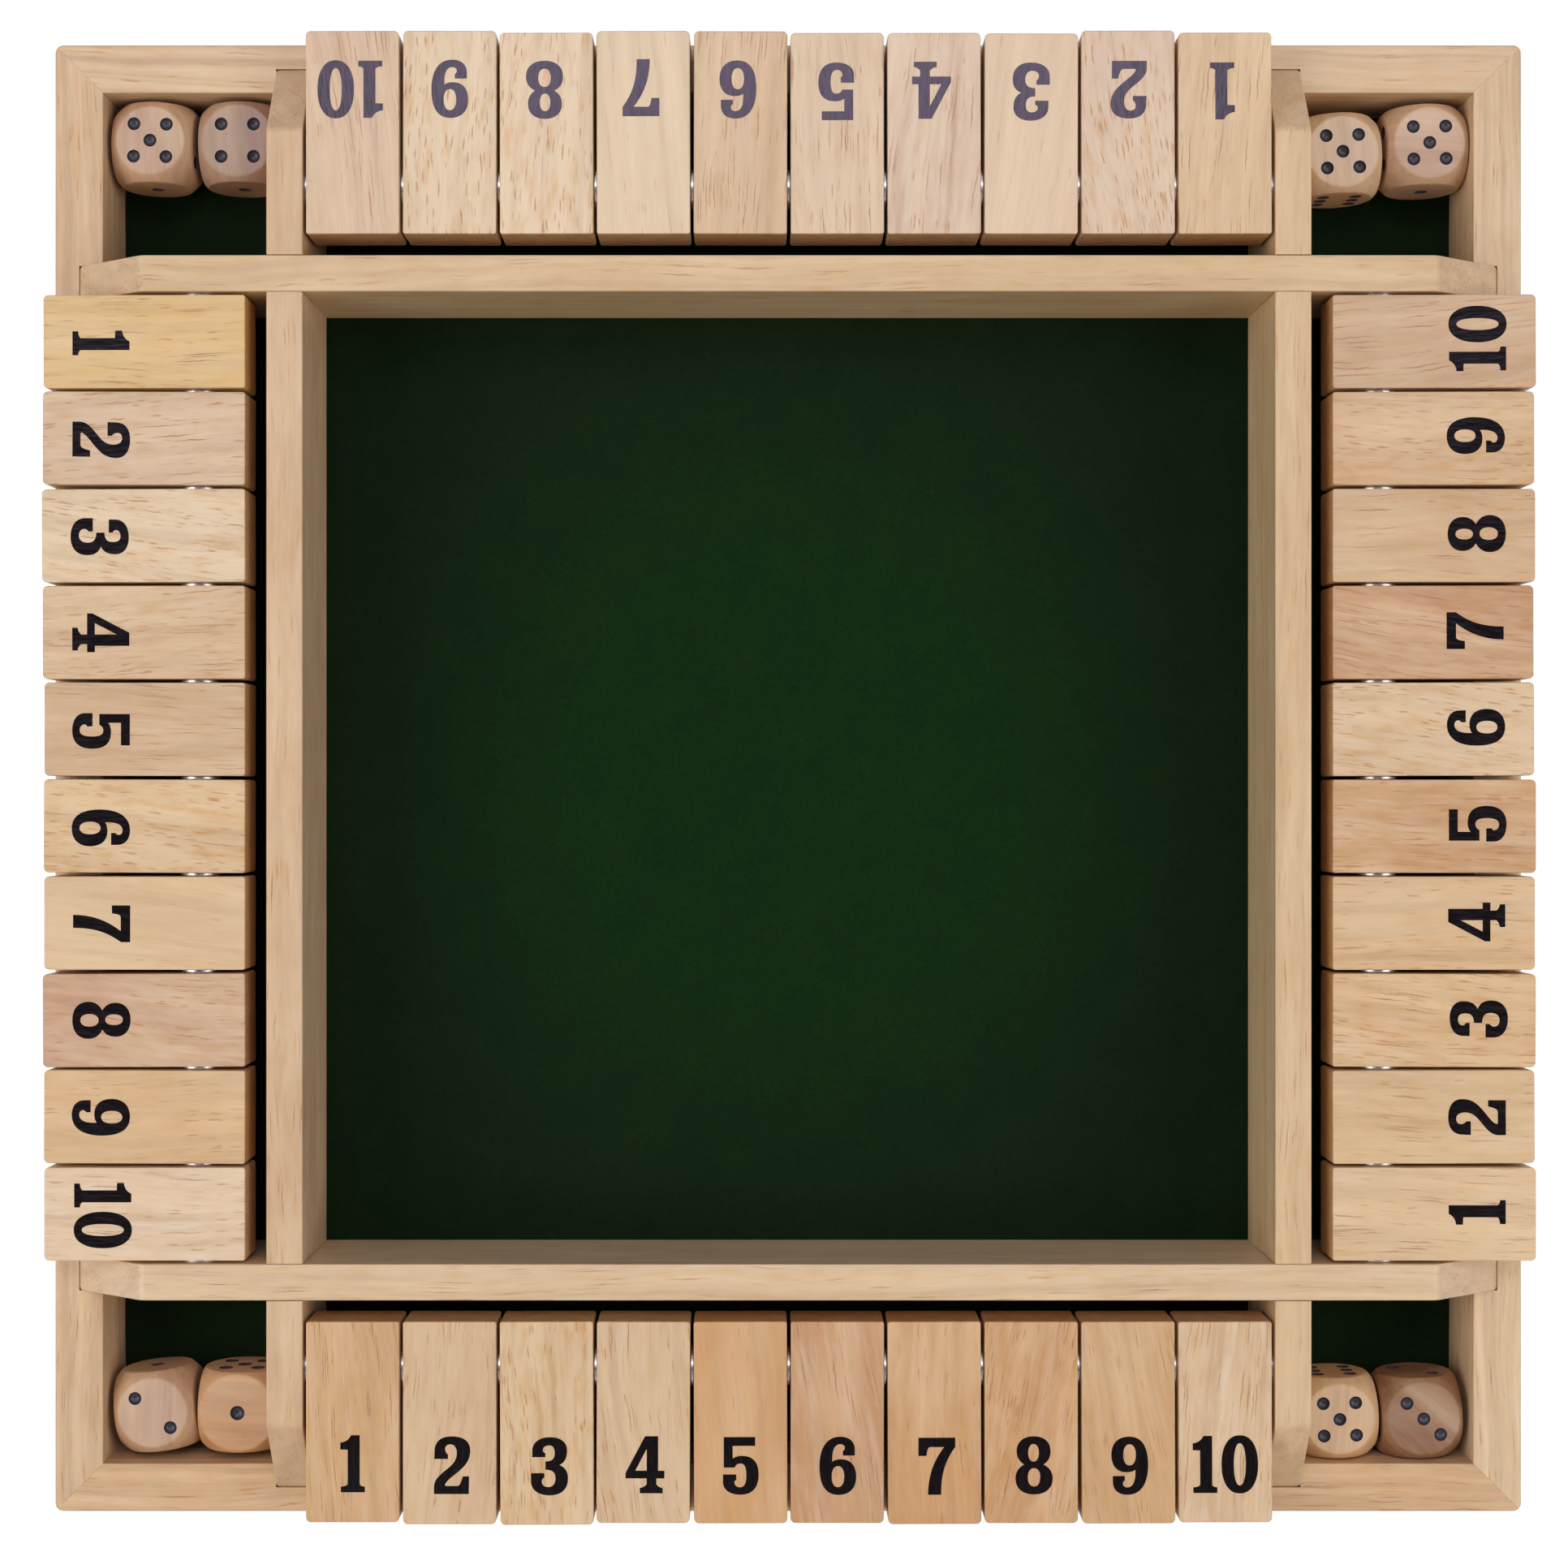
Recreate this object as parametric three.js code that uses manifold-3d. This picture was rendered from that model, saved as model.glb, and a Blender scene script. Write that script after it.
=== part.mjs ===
// Shut the box game for four players: four rows of ten numbered tiles on steel rods round a felt-lined
// throwing tray, and two dice in a small tray at each corner.
// Millimetres, +Z up. The origin is the middle of the underside. The front row lies towards -Y.

import * as THREE from 'three';
import * as BufferGeometryUtils from 'three/addons/utils/BufferGeometryUtils.js';
import Module from 'manifold-3d';

// Tiles. A tile lies flat on the outer frame at rest and flips about its rod on to the rail.
const tilesPerRow = 10;
const tileWidth = 18.1;
const tileThick = 11.1;
const tileHeel = 9.7; // from the rod's axis to the tile's inner end
const tileCorner = 1.2; // radius of the four upright edges
const tileEdge = 0.4; // softened edge round the top face and the bottom face
const tileLip = 0.65; // how far the frame reaches past the tile's outer end
const swingGap = 2.57; // free space between the turning heel and the rail

// Rods and the washers on them
const rodRadius = 1.5;
const tilePlay = 0.05; // radial running clearance of a tile on its rod
const rodSeatPlay = 0.03; // radial clearance of the rod's end in its hole
const rodHoleDepth = 5;
const rodEndPlay = 0.2; // free length at each end of the rod
const washerRadius = 3.5;
const washerThick = 0.5;
const washerPlay = 0.05; // free space on each face of a washer

// Rails, which cross in half-lap joints
const railThick = 7;
const railEdge = 0.7;
const railTongue = 4.6; // how far a rail's end reaches into the frame
const railSlopeRun = 14.6; // length of the sloping end, seen from above
const lapPlay = 0.1; // free space on each side of a lap joint

// Outer frame
const frameWall = 9.5;
const wallRise = 17.7; // height of the frame above the felt
const frameEdge = 1;
const groovePlay = 0.2; // free space round a rail's end in its groove

// Floor
const boardThick = 3;
const boardHold = 5; // how far the base board reaches under the frame
const feltThick = 0.8;
const floorPlay = 0.2; // free space round the edge of the board and of the felt

// Dice
const dieSide = 16;
const dieFlat = 7; // radius of the flat circle that the rounding leaves on each face
const pipRadius = 1.28;
const pipDepth = 0.9;
const pipSpread = 3.2; // from the middle of a face to an outer spot
const dicePlay = 2.2; // free width beside the pair of dice in a corner tray

// Round shapes are drawn with these numbers of sides. An arc of an outline has two for each arc step.
const rodSides = 10;
const pipSides = 6;
const ballDetail = 2;
const arcSteps = 1;
const bevelSteps = 2;

const cutOver = 1; // every cutting tool reaches this far past the surface that it cuts

// Places that follow from the sizes above
const tilePitch = tileWidth + washerThick + 2 * washerPlay;
const firstGap = washerThick + 2 * washerPlay;
const trayHalf = (tilesPerRow * tilePitch + firstGap) / 2;
const railOuter = trayHalf + railThick;
const railMiddle = trayHalf + railThick / 2;
const rodPlace = railOuter + Math.hypot(tileHeel, tileThick / 2) + swingGap;
const frameInner = railOuter + 2 * dieSide + dicePlay;
const frameOuter = frameInner + frameWall;
const tileToe = frameOuter - tileLip - rodPlace;
const feltTop = boardThick + feltThick;
const frameTop = feltTop + wallRise;
const rodHeight = frameTop + tileThick / 2;
const railTop = frameTop + tileThick;
const lapHeight = (feltTop + railTop) / 2;
const railReach = frameInner + railTongue;
const rodHalf = trayHalf + rodHoleDepth - rodEndPlay;
const dieBall = Math.hypot(dieSide / 2, dieFlat); // radius of the ball that rounds the die's corners

// The sides of the box, each with its turn from the front row about +Z
const sides = [
  { side: 'front', turn: 0 },
  { side: 'left', turn: -Math.PI / 2 },
  { side: 'back', turn: Math.PI },
  { side: 'right', turn: Math.PI / 2 },
];

const palette = {
  tile: { color: 0xd2b08a, roughness: 0.45, metalness: 0 },
  rail: { color: 0xd6b793, roughness: 0.45, metalness: 0 },
  frame: { color: 0xd1b392, roughness: 0.45, metalness: 0 },
  board: { color: 0xc9a97f, roughness: 0.7, metalness: 0 },
  dice: { color: 0xc4a083, roughness: 0.5, metalness: 0 },
  steel: { color: 0xb9bcc0, roughness: 0.25, metalness: 1 },
  felt: { color: 0x173016, roughness: 0.95, metalness: 0 },
};

const game = new THREE.Group();

const wasm = await Module();
wasm.setup();

// Turns a closed three.js geometry into a solid that can be cut and joined.
function toSolid(geometry) {
  const bare = geometry.clone();
  bare.deleteAttribute('normal');
  bare.deleteAttribute('uv');
  const merged = BufferGeometryUtils.mergeVertices(bare);
  return new wasm.Manifold(new wasm.Mesh({
    numProp: 3,
    vertProperties: new Float32Array(merged.attributes.position.array),
    triVerts: new Uint32Array(merged.index.array),
  }));
}

// Turns a solid back into a three.js geometry.
function toGeometry(solid) {
  const mesh = solid.getMesh();
  const geometry = new THREE.BufferGeometry();
  geometry.setAttribute('position', new THREE.BufferAttribute(new Float32Array(mesh.vertProperties), 3));
  geometry.setIndex(new THREE.BufferAttribute(new Uint32Array(mesh.triVerts), 1));
  geometry.computeVertexNormals();
  return geometry;
}

// Adds a named piece with a material of its own to a parent group.
function addPiece(parent, name, geometry, finish) {
  const piece = new THREE.Mesh(geometry, new THREE.MeshStandardMaterial(finish));
  piece.name = name;
  parent.add(piece);
  return piece;
}

// A block given by its two opposite corners.
function blockBetween(low, high) {
  const geometry = new THREE.BoxGeometry(high[0] - low[0], high[1] - low[1], high[2] - low[2]);
  geometry.translate((low[0] + high[0]) / 2, (low[1] + high[1]) / 2, (low[2] + high[2]) / 2);
  return toSolid(geometry);
}

// A square outline with round corners, centred on the origin.
function squareOutline(half, corner) {
  const outline = new THREE.Shape();
  const straight = half - corner;
  outline.absarc(straight, straight, corner, 0, Math.PI / 2);
  outline.absarc(-straight, straight, corner, Math.PI / 2, Math.PI);
  outline.absarc(-straight, -straight, corner, Math.PI, 1.5 * Math.PI);
  outline.absarc(straight, -straight, corner, 1.5 * Math.PI, 2 * Math.PI);
  return outline;
}

// A cylinder along X, used for holes.
function rodHole(radius, fromX, toX) {
  const geometry = new THREE.CylinderGeometry(radius, radius, toX - fromX, rodSides);
  geometry.rotateZ(Math.PI / 2);
  geometry.translate((fromX + toX) / 2, 0, 0);
  return toSolid(geometry);
}

// The radius at which a many-sided hole clears a round rod by the given play on every flat.
function holeRadius(play) {
  return (rodRadius + play) / Math.cos(Math.PI / rodSides);
}

// One tile: its rod's axis is the X axis, the number's face is up and the outer end lies towards -Y.
function makeTile() {
  const side = tileWidth / 2 - tileCorner;
  const inner = tileHeel - tileCorner;
  const outer = tileCorner - tileToe;
  const round = tileCorner - tileEdge;
  const outline = new THREE.Shape();
  outline.absarc(side, inner, round, 0, Math.PI / 2);
  outline.absarc(-side, inner, round, Math.PI / 2, Math.PI);
  outline.absarc(-side, outer, round, Math.PI, 1.5 * Math.PI);
  outline.absarc(side, outer, round, 1.5 * Math.PI, 2 * Math.PI);
  const geometry = new THREE.ExtrudeGeometry(outline, {
    depth: tileThick - 2 * tileEdge,
    bevelThickness: tileEdge,
    bevelSize: tileEdge,
    bevelSegments: 1,
    curveSegments: arcSteps,
  });
  geometry.translate(0, 0, tileEdge - tileThick / 2);
  const reach = tileWidth / 2 + cutOver;
  return toGeometry(toSolid(geometry).subtract(rodHole(holeRadius(tilePlay), -reach, reach)));
}

// A rod along X with a washer in each gap of the row, turned as one closed profile.
function makeRod() {
  const profile = [new THREE.Vector2(0, -rodHalf), new THREE.Vector2(rodRadius, -rodHalf)];
  for (let gap = 0; gap <= tilesPerRow; gap += 1) {
    const start = gap * tilePitch + washerPlay - trayHalf;
    profile.push(new THREE.Vector2(rodRadius, start));
    profile.push(new THREE.Vector2(washerRadius, start));
    profile.push(new THREE.Vector2(washerRadius, start + washerThick));
    profile.push(new THREE.Vector2(rodRadius, start + washerThick));
  }
  profile.push(new THREE.Vector2(rodRadius, rodHalf), new THREE.Vector2(0, rodHalf));
  const geometry = new THREE.LatheGeometry(profile, rodSides);
  geometry.rotateZ(-Math.PI / 2);
  return geometry;
}

// The front rail in its place. A rail that runs through on top is notched from below, and one that
// passes under is notched from above.
function makeRail(runsOnTop) {
  const bevel = railEdge;
  const outline = new THREE.Shape();
  outline.moveTo(bevel - railReach, feltTop + bevel);
  outline.lineTo(railReach - bevel, feltTop + bevel);
  outline.lineTo(railReach - bevel, frameTop - bevel);
  outline.lineTo(railReach - railSlopeRun, railTop - bevel);
  outline.lineTo(railSlopeRun - railReach, railTop - bevel);
  outline.lineTo(bevel - railReach, frameTop - bevel);
  outline.closePath();
  const geometry = new THREE.ExtrudeGeometry(outline, {
    depth: railThick - 2 * bevel,
    bevelThickness: bevel,
    bevelSize: bevel,
    bevelSegments: bevelSteps,
  });
  geometry.rotateX(Math.PI / 2);
  geometry.translate(0, -trayHalf - bevel, 0);
  let rail = toSolid(geometry);
  const lapHalf = railThick / 2 + lapPlay;
  const lapLow = runsOnTop ? feltTop - cutOver : lapHeight;
  const lapHigh = runsOnTop ? lapHeight : railTop + cutOver;
  for (const end of [-1, 1]) {
    const lap = blockBetween(
      [end * railMiddle - lapHalf, -railOuter - cutOver, lapLow],
      [end * railMiddle + lapHalf, cutOver - trayHalf, lapHigh],
    );
    rail = rail.subtract(lap);
    const hole = rodHole(holeRadius(rodSeatPlay), -rodHoleDepth, cutOver)
      .rotate([0, 0, 90])
      .translate([end * rodPlace, -trayHalf, rodHeight]);
    rail = rail.subtract(hole);
  }
  return toGeometry(rail);
}

// The glued outer frame: a square ring with grooves for the rails' ends and a rebate for the board.
function makeFrame() {
  const outline = squareOutline(frameOuter - frameEdge, frameEdge);
  const middle = new THREE.Path();
  const inner = frameInner + frameEdge;
  middle.moveTo(-inner, -inner);
  middle.lineTo(-inner, inner);
  middle.lineTo(inner, inner);
  middle.lineTo(inner, -inner);
  middle.closePath();
  outline.holes.push(middle);
  const geometry = new THREE.ExtrudeGeometry(outline, {
    depth: frameTop - 2 * frameEdge,
    bevelThickness: frameEdge,
    bevelSize: frameEdge,
    bevelSegments: bevelSteps,
    curveSegments: arcSteps,
  });
  geometry.translate(0, 0, frameEdge);
  const held = frameInner + boardHold;
  let frame = toSolid(geometry).subtract(blockBetween([-held, -held, -cutOver], [held, held, boardThick]));
  const grooveHalf = railThick / 2 + groovePlay;
  const grooveReach = railReach + groovePlay;
  for (const { turn } of sides) {
    for (const end of [-1, 1]) {
      const groove = blockBetween(
        [end * railMiddle - grooveHalf, -grooveReach, boardThick - cutOver],
        [end * railMiddle + grooveHalf, cutOver - frameInner, frameTop + cutOver],
      );
      frame = frame.subtract(groove.rotate([0, 0, THREE.MathUtils.radToDeg(turn)]));
    }
  }
  return toGeometry(frame);
}

// A square sheet that lies flat, such as the base board or the felt.
function makeSheet(half, low, thick) {
  const geometry = new THREE.BoxGeometry(2 * half, 2 * half, thick);
  geometry.translate(0, 0, low + thick / 2);
  return geometry;
}

// Spots of each value, as shares of the spread from the middle of the face
const cornerShares = [[-1, 1], [1, 1], [-1, -1], [1, -1]];
const pipShares = {
  1: [[0, 0]],
  2: [[-1, 1], [1, -1]],
  3: [[-1, 1], [0, 0], [1, -1]],
  4: cornerShares,
  5: [...cornerShares, [0, 0]],
  6: [...cornerShares, [-1, 0], [1, 0]],
};

// The value on the +X face of a die, when 1, 2 and 3 run anticlockwise round their shared corner and
// opposite faces add up to seven.
function rightValue(top, front) {
  const axis = (value) => (value <= 3 ? value : 7 - value);
  const sign = (value) => (value <= 3 ? 1 : -1);
  const third = 6 - axis(top) - axis(front);
  const order = (axis(front) - axis(top) + 3) % 3 === 1 ? 1 : -1;
  return sign(top) * sign(front) * order > 0 ? third : 7 - third;
}

// A drilled spot whose point lies pipDepth under a face that looks towards +Z at the origin.
function makePip() {
  const height = pipDepth + cutOver;
  const geometry = new THREE.ConeGeometry(pipRadius * height / pipDepth, height, pipSides);
  geometry.rotateX(-Math.PI / 2);
  geometry.translate(0, 0, height / 2 - pipDepth);
  return geometry;
}

// A die with the given values on its top and on its front, the side towards -Y.
function makeDie(top, front) {
  const right = rightValue(top, front);
  const faces = [
    { value: top, normal: new THREE.Vector3(0, 0, 1) },
    { value: 7 - top, normal: new THREE.Vector3(0, 0, -1) },
    { value: front, normal: new THREE.Vector3(0, -1, 0) },
    { value: 7 - front, normal: new THREE.Vector3(0, 1, 0) },
    { value: right, normal: new THREE.Vector3(1, 0, 0) },
    { value: 7 - right, normal: new THREE.Vector3(-1, 0, 0) },
  ];
  const cube = toSolid(new THREE.BoxGeometry(dieSide, dieSide, dieSide));
  let die = cube.intersect(toSolid(new THREE.IcosahedronGeometry(dieBall, ballDetail)));
  for (const { value, normal } of faces) {
    const turn = new THREE.Quaternion().setFromUnitVectors(new THREE.Vector3(0, 0, 1), normal);
    for (const [across, up] of pipShares[value]) {
      const pip = makePip();
      pip.translate(across * pipSpread, up * pipSpread, dieSide / 2);
      pip.applyQuaternion(turn);
      die = die.subtract(toSolid(pip));
    }
  }
  return toGeometry(die);
}

// The dice as they lie. The corner is given by the signs of X and Y. The first place share is the shift
// towards +X from the middle of the die's half of the tray, where 1 is the free play on one side, and
// the second runs from the outer wall, at 0, to the rail, at 1. The turn is anticlockwise, in degrees.
const dice = [
  { name: 'die_back_left_outer', corner: [-1, 1], outer: true, top: 5, front: 1, turn: -0.9, placeShares: [0.58, 0.05] },
  { name: 'die_back_left_inner', corner: [-1, 1], outer: false, top: 4, front: 1, turn: 0, placeShares: [0.89, 0.05] },
  { name: 'die_back_right_inner', corner: [1, 1], outer: false, top: 5, front: 6, turn: 2, placeShares: [0.56, 0.17] },
  { name: 'die_back_right_outer', corner: [1, 1], outer: true, top: 5, front: 1, turn: 0.9, placeShares: [0.64, 0.075] },
  { name: 'die_front_left_outer', corner: [-1, -1], outer: true, top: 2, front: 6, turn: 5.5, placeShares: [1.55, 0.086] },
  { name: 'die_front_left_inner', corner: [-1, -1], outer: false, top: 1, front: 2, turn: 0, placeShares: [0.89, 0.086] },
  { name: 'die_front_right_inner', corner: [1, -1], outer: false, top: 5, front: 1, turn: 1.5, placeShares: [-0.54, 0.017] },
  { name: 'die_front_right_outer', corner: [1, -1], outer: true, top: 3, front: 5, turn: 2.4, placeShares: [-1.5, 0.022] },
];

addPiece(game, 'base_board', makeSheet(frameInner + boardHold - floorPlay, 0, boardThick), palette.board);
addPiece(game, 'felt_lining', makeSheet(frameInner - floorPlay, boardThick, feltThick), palette.felt);
addPiece(game, 'outer_frame', makeFrame(), palette.frame);

// Each side of the box: a rail, a rod with its washers and a row of tiles
for (const { side, turn } of sides) {
  const group = new THREE.Group();
  group.rotation.z = turn;
  game.add(group);
  const runsOnTop = side === 'front' || side === 'back';
  addPiece(group, `${side}_rail`, makeRail(runsOnTop), palette.rail);
  const rod = addPiece(group, `${side}_rod`, makeRod(), palette.steel);
  rod.position.set(0, -rodPlace, rodHeight);
  const tile = makeTile();
  for (let number = 1; number <= tilesPerRow; number += 1) {
    const piece = addPiece(group, `${side}_tile_${number}`, tile.clone(), palette.tile);
    const middle = firstGap + (number - 1) * tilePitch + tileWidth / 2 - trayHalf;
    piece.position.set(middle, -rodPlace, rodHeight);
  }
}

// The dice stand on the felt in the corner trays.
for (const { name, corner, outer, top, front, turn, placeShares } of dice) {
  const cell = dieSide + dicePlay / 2;
  const cellMiddle = outer ? frameInner - cell / 2 : railOuter + cell / 2;
  const freeDepth = dieSide + dicePlay;
  const x = corner[0] * cellMiddle + placeShares[0] * (cell - dieSide) / 2;
  const y = corner[1] * (frameInner - dieSide / 2 - placeShares[1] * freeDepth);
  const die = addPiece(game, name, makeDie(top, front), palette.dice);
  die.rotation.z = THREE.MathUtils.degToRad(turn);
  die.position.set(x, y, feltTop + dieSide / 2);
}

export default game;
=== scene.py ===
"""The finished look of a four-player shut the box game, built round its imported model.

Lengths are in millimetres until a mesh is written, and colours are sRGB hex until a node is set. What
repeats on the four sides of the box is worked out in the place of the front side, whose row of tiles
lies towards -Y, and is turned to its own side about +Z.
"""

import logging
import math
from collections.abc import Callable, Sequence
from dataclasses import dataclass, field, replace
from enum import Enum, IntEnum
from functools import partial
from typing import Any

import bpy
import numpy as np
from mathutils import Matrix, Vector
from mathutils.geometry import tessellate_polygon


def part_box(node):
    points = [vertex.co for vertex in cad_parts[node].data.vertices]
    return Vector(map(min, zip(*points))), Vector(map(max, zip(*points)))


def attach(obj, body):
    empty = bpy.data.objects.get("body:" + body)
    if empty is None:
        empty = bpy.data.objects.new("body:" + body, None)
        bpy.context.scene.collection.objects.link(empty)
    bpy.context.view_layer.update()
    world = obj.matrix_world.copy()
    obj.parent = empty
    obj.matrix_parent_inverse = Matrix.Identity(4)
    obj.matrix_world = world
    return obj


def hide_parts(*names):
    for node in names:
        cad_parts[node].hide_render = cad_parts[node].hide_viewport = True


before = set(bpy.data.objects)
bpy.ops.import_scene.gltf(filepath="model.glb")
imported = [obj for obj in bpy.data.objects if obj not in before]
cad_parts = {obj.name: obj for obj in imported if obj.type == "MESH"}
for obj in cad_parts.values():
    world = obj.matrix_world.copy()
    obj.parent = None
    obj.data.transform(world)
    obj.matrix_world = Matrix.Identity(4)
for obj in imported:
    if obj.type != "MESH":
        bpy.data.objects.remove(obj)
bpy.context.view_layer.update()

MM = 0.001
SEED = 7
TILES_PER_ROW = 10
ROD_RADIUS = 1.5
log = logging.getLogger("shut_the_box")


class Side(Enum):
    """The four sides of the box, each with its turn in degrees from the front side about +Z."""

    FRONT = 0
    LEFT = -90
    BACK = 180
    RIGHT = 90

    @property
    def label(self) -> str:
        """The side's name as the model's nodes spell it."""
        return self.name.lower()

    @property
    def through_on_top(self) -> bool:
        """Whether this side's rail runs through on top at the lap joints."""
        return self in (Side.FRONT, Side.BACK)

    @property
    def number(self) -> int:
        """The side's number in order, for picking its part of the wood."""
        return list(Side).index(self)

    @property
    def along(self) -> tuple[float, float, float]:
        """The direction that the side's long pieces run in."""
        return tuple(self.turned(np.array([1.0, 0.0, 0.0])))

    def turned(self, points: np.ndarray, back: bool = False) -> np.ndarray:
        """Turns points from the front side to this side about +Z.

        Args:
            points: Points whose last axis holds x, y and z.
            back: Turns points of this side to the front instead.

        Returns:
            The turned points.
        """
        angle = math.radians(-self.value if back else self.value)
        cos, sin = round(math.cos(angle)), round(math.sin(angle))
        x, y, z = np.moveaxis(np.asarray(points, float), -1, 0)
        return np.stack([cos * x - sin * y, sin * x + cos * y, z], axis=-1)


class Tint(Enum):
    """Colours of the rubberwood boards that the pieces are cut from."""

    CREAM = "#ead3b0"
    PALE = "#e5cba9"
    PEARL = "#e0c6aa"
    ROSE = "#dcbf9e"
    OAT = "#dec199"
    SAND = "#e1c194"
    STRAW = "#daba92"
    WHEAT = "#dcbb8c"
    AMBER = "#e2bf81"
    FLAX = "#dcb787"
    FAWN = "#d3b189"
    HAY = "#d3ad80"
    DUSK = "#cca883"
    HONEY = "#d5ab78"
    ASH = "#c8a080"
    TAN = "#d2a16b"
    SPICE = "#ce9f6c"
    RUSSET = "#c8986b"
    CLAY = "#c3a188"
    MAUVE = "#a48678"
    UMBER = "#845b40"
    PLY = "#cba97c"


class Figure(Enum):
    """What the wood of a piece shows: how many pores and dark lines, and how strong light streaks."""

    PLAIN = (0.2, 0.15, 0.1)
    FAINT = (0.4, 0.45, 0.15)
    PORED = (1.0, 0.25, 0.2)
    LINED = (0.25, 0.9, 0.2)
    DASHED = (0.75, 0.7, 0.2)
    STREAKED = (0.4, 0.6, 0.4)
    BANDED = (0.8, 1.0, 0.12)


class Pick(IntEnum):
    """Where the seeds of each kind of piece begin, which pick its part of the wood and its small flaws."""

    RAIL = 30
    WALL = 50
    WASHERS = 60
    BASE_BOARD = 70
    FELT = 80
    DIE = 90
    TILE = 100


# Sizes and places that follow from the model


@dataclass(frozen=True)
class Layout:
    """Where the model's nodes lie, in millimetres, with every side turned to the front."""

    def box(self, node: str, side: Side = Side.FRONT) -> tuple[np.ndarray, np.ndarray]:
        """Gives a node's box.

        Args:
            node: The node's name.
            side: The side of the box that the node belongs to.

        Returns:
            Its lowest and highest corners, turned to the front side.
        """
        corners = side.turned(np.array([corner[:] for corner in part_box(node)]) / MM, back=True)
        return corners.min(0), corners.max(0)

    def rod_axis(self, side: Side) -> tuple[float, float]:
        """The y and z of a side's rod."""
        low, high = self.box(f"{side.label}_rod", side)
        return float(low[1] + high[1]) / 2, float(low[2] + high[2]) / 2


LAYOUT = Layout()


# Surfaces as arrays, and the meshes made from them


@dataclass
class Surface:
    """A surface as arrays.

    Attributes:
        points: One row of x, y and z for each point.
        faces: The numbers of the points round each face.
        marked: For each face, whether it has the piece's second finish. Empty if none has.
    """

    points: np.ndarray
    faces: list[Sequence[int]]
    marked: list[bool] = field(default_factory=list)

    def moved(self, place: Sequence[float]) -> "Surface":
        """The same surface, moved by a place."""
        return Surface(self.points + np.asarray(place, float), self.faces, self.marked)

    def mapped(self, points: np.ndarray) -> "Surface":
        """The same faces on other points."""
        return Surface(points, self.faces, self.marked)

    def on(self, side: Side) -> "Surface":
        """The same surface, turned from the front side to another."""
        return self.mapped(side.turned(self.points))


def joined(surfaces: Sequence[Surface]) -> Surface:
    """Puts several surfaces into one.

    Args:
        surfaces: The surfaces.

    Returns:
        One surface with all their points and faces, in order.
    """
    faces: list[Sequence[int]] = []
    marked: list[bool] = []
    start = 0
    for surface in surfaces:
        faces += [[start + number for number in face] for face in surface.faces]
        marked += surface.marked or [False] * len(surface.faces)
        start += len(surface.points)
    return Surface(np.concatenate([surface.points for surface in surfaces]), faces, marked)


def grid_faces(rows: int, columns: int, wrap: bool = True) -> np.ndarray:
    """Numbers the four corners of every cell of a grid of points.

    Args:
        rows: How many rows of points there are.
        columns: How many points each row has.
        wrap: Whether a row's last point joins its first.

    Returns:
        One row of four point numbers for each cell.
    """
    numbers = np.arange(rows * columns).reshape(rows, columns)
    after = np.roll(numbers, -1, axis=1)
    if not wrap:
        numbers, after = numbers[:, :-1], after[:, :-1]
    return np.stack([numbers[:-1], after[:-1], after[1:], numbers[1:]], axis=-1).reshape(-1, 4)


def loft(outlines: np.ndarray) -> Surface:
    """Joins a row of outlines into a closed surface with flat ends.

    Point j of outline i meets point j of outline i + 1, and the first and last outlines are faces.

    Args:
        outlines: Points in an array of outlines by points by three.

    Returns:
        The closed surface.
    """
    count, around = outlines.shape[:2]
    faces: list[Sequence[int]] = grid_faces(count, around).tolist()
    first = list(range(around))
    last = [number + (count - 1) * around for number in first]
    return Surface(outlines.reshape(-1, 3), [*faces, first[::-1], last])


def spun(profile: np.ndarray, sides: int, closed: bool = False) -> Surface:
    """Turns a profile about the X axis.

    A profile point (a, r) becomes the circle (a, r cos t, r sin t), with t from 0 to a full turn.

    Args:
        profile: Rows of place along X and radius.
        sides: How many points each circle has.
        closed: Whether the profile closes on itself, as a washer's does. Otherwise both ends are faces.

    Returns:
        The closed surface.
    """
    angle = np.linspace(0, 2 * math.pi, sides, endpoint=False)
    along = np.repeat(profile[:, :1], sides, axis=1)
    circles = np.stack([along, profile[:, 1:] * np.cos(angle), profile[:, 1:] * np.sin(angle)], axis=-1)
    if not closed:
        return loft(circles)
    faces = grid_faces(len(profile) + 1, sides) % (len(profile) * sides)
    return Surface(circles.reshape(-1, 3), faces.tolist())


def arc(steps: int) -> np.ndarray:
    """Rows of sine and cosine at equal steps from 0 to a quarter turn."""
    turn = np.linspace(0, math.pi / 2, steps + 1)
    return np.stack([np.sin(turn), np.cos(turn)], axis=-1)


def soft_rectangle(
    low: Sequence[float], high: Sequence[float], radius: float | tuple[float, float], steps: int
) -> np.ndarray:
    """A rectangle with round corners, anticlockwise from its right side's lower end.

    Each corner is a quarter circle about the point that lies one radius in from both sides.

    Args:
        low: The lower left corner.
        high: The upper right corner.
        radius: The radius of the corners, or of the two lower and the two upper ones.
        steps: How many straight steps stand for a quarter circle.

    Returns:
        Rows of two coordinates.
    """
    lower, upper = np.broadcast_to(radius, 2)
    turn = arc(steps)
    quarters = []
    for across, up, shape, reach in (
        (high[0], low[1], turn * [1, -1], lower),
        (high[0], high[1], turn[:, ::-1], upper),
        (low[0], high[1], turn * [-1, 1], upper),
        (low[0], low[1], -turn[:, ::-1], lower),
    ):
        inward = np.sign([low[0] + high[0] - 2 * across, low[1] + high[1] - 2 * up])
        quarters.append([across, up] + reach * (inward + shape))
    return np.concatenate(quarters)


def at_height(flat: np.ndarray, height: float) -> np.ndarray:
    """Rows of two coordinates, with a height added to each."""
    return np.column_stack([flat, np.full(len(flat), height)])


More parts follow.
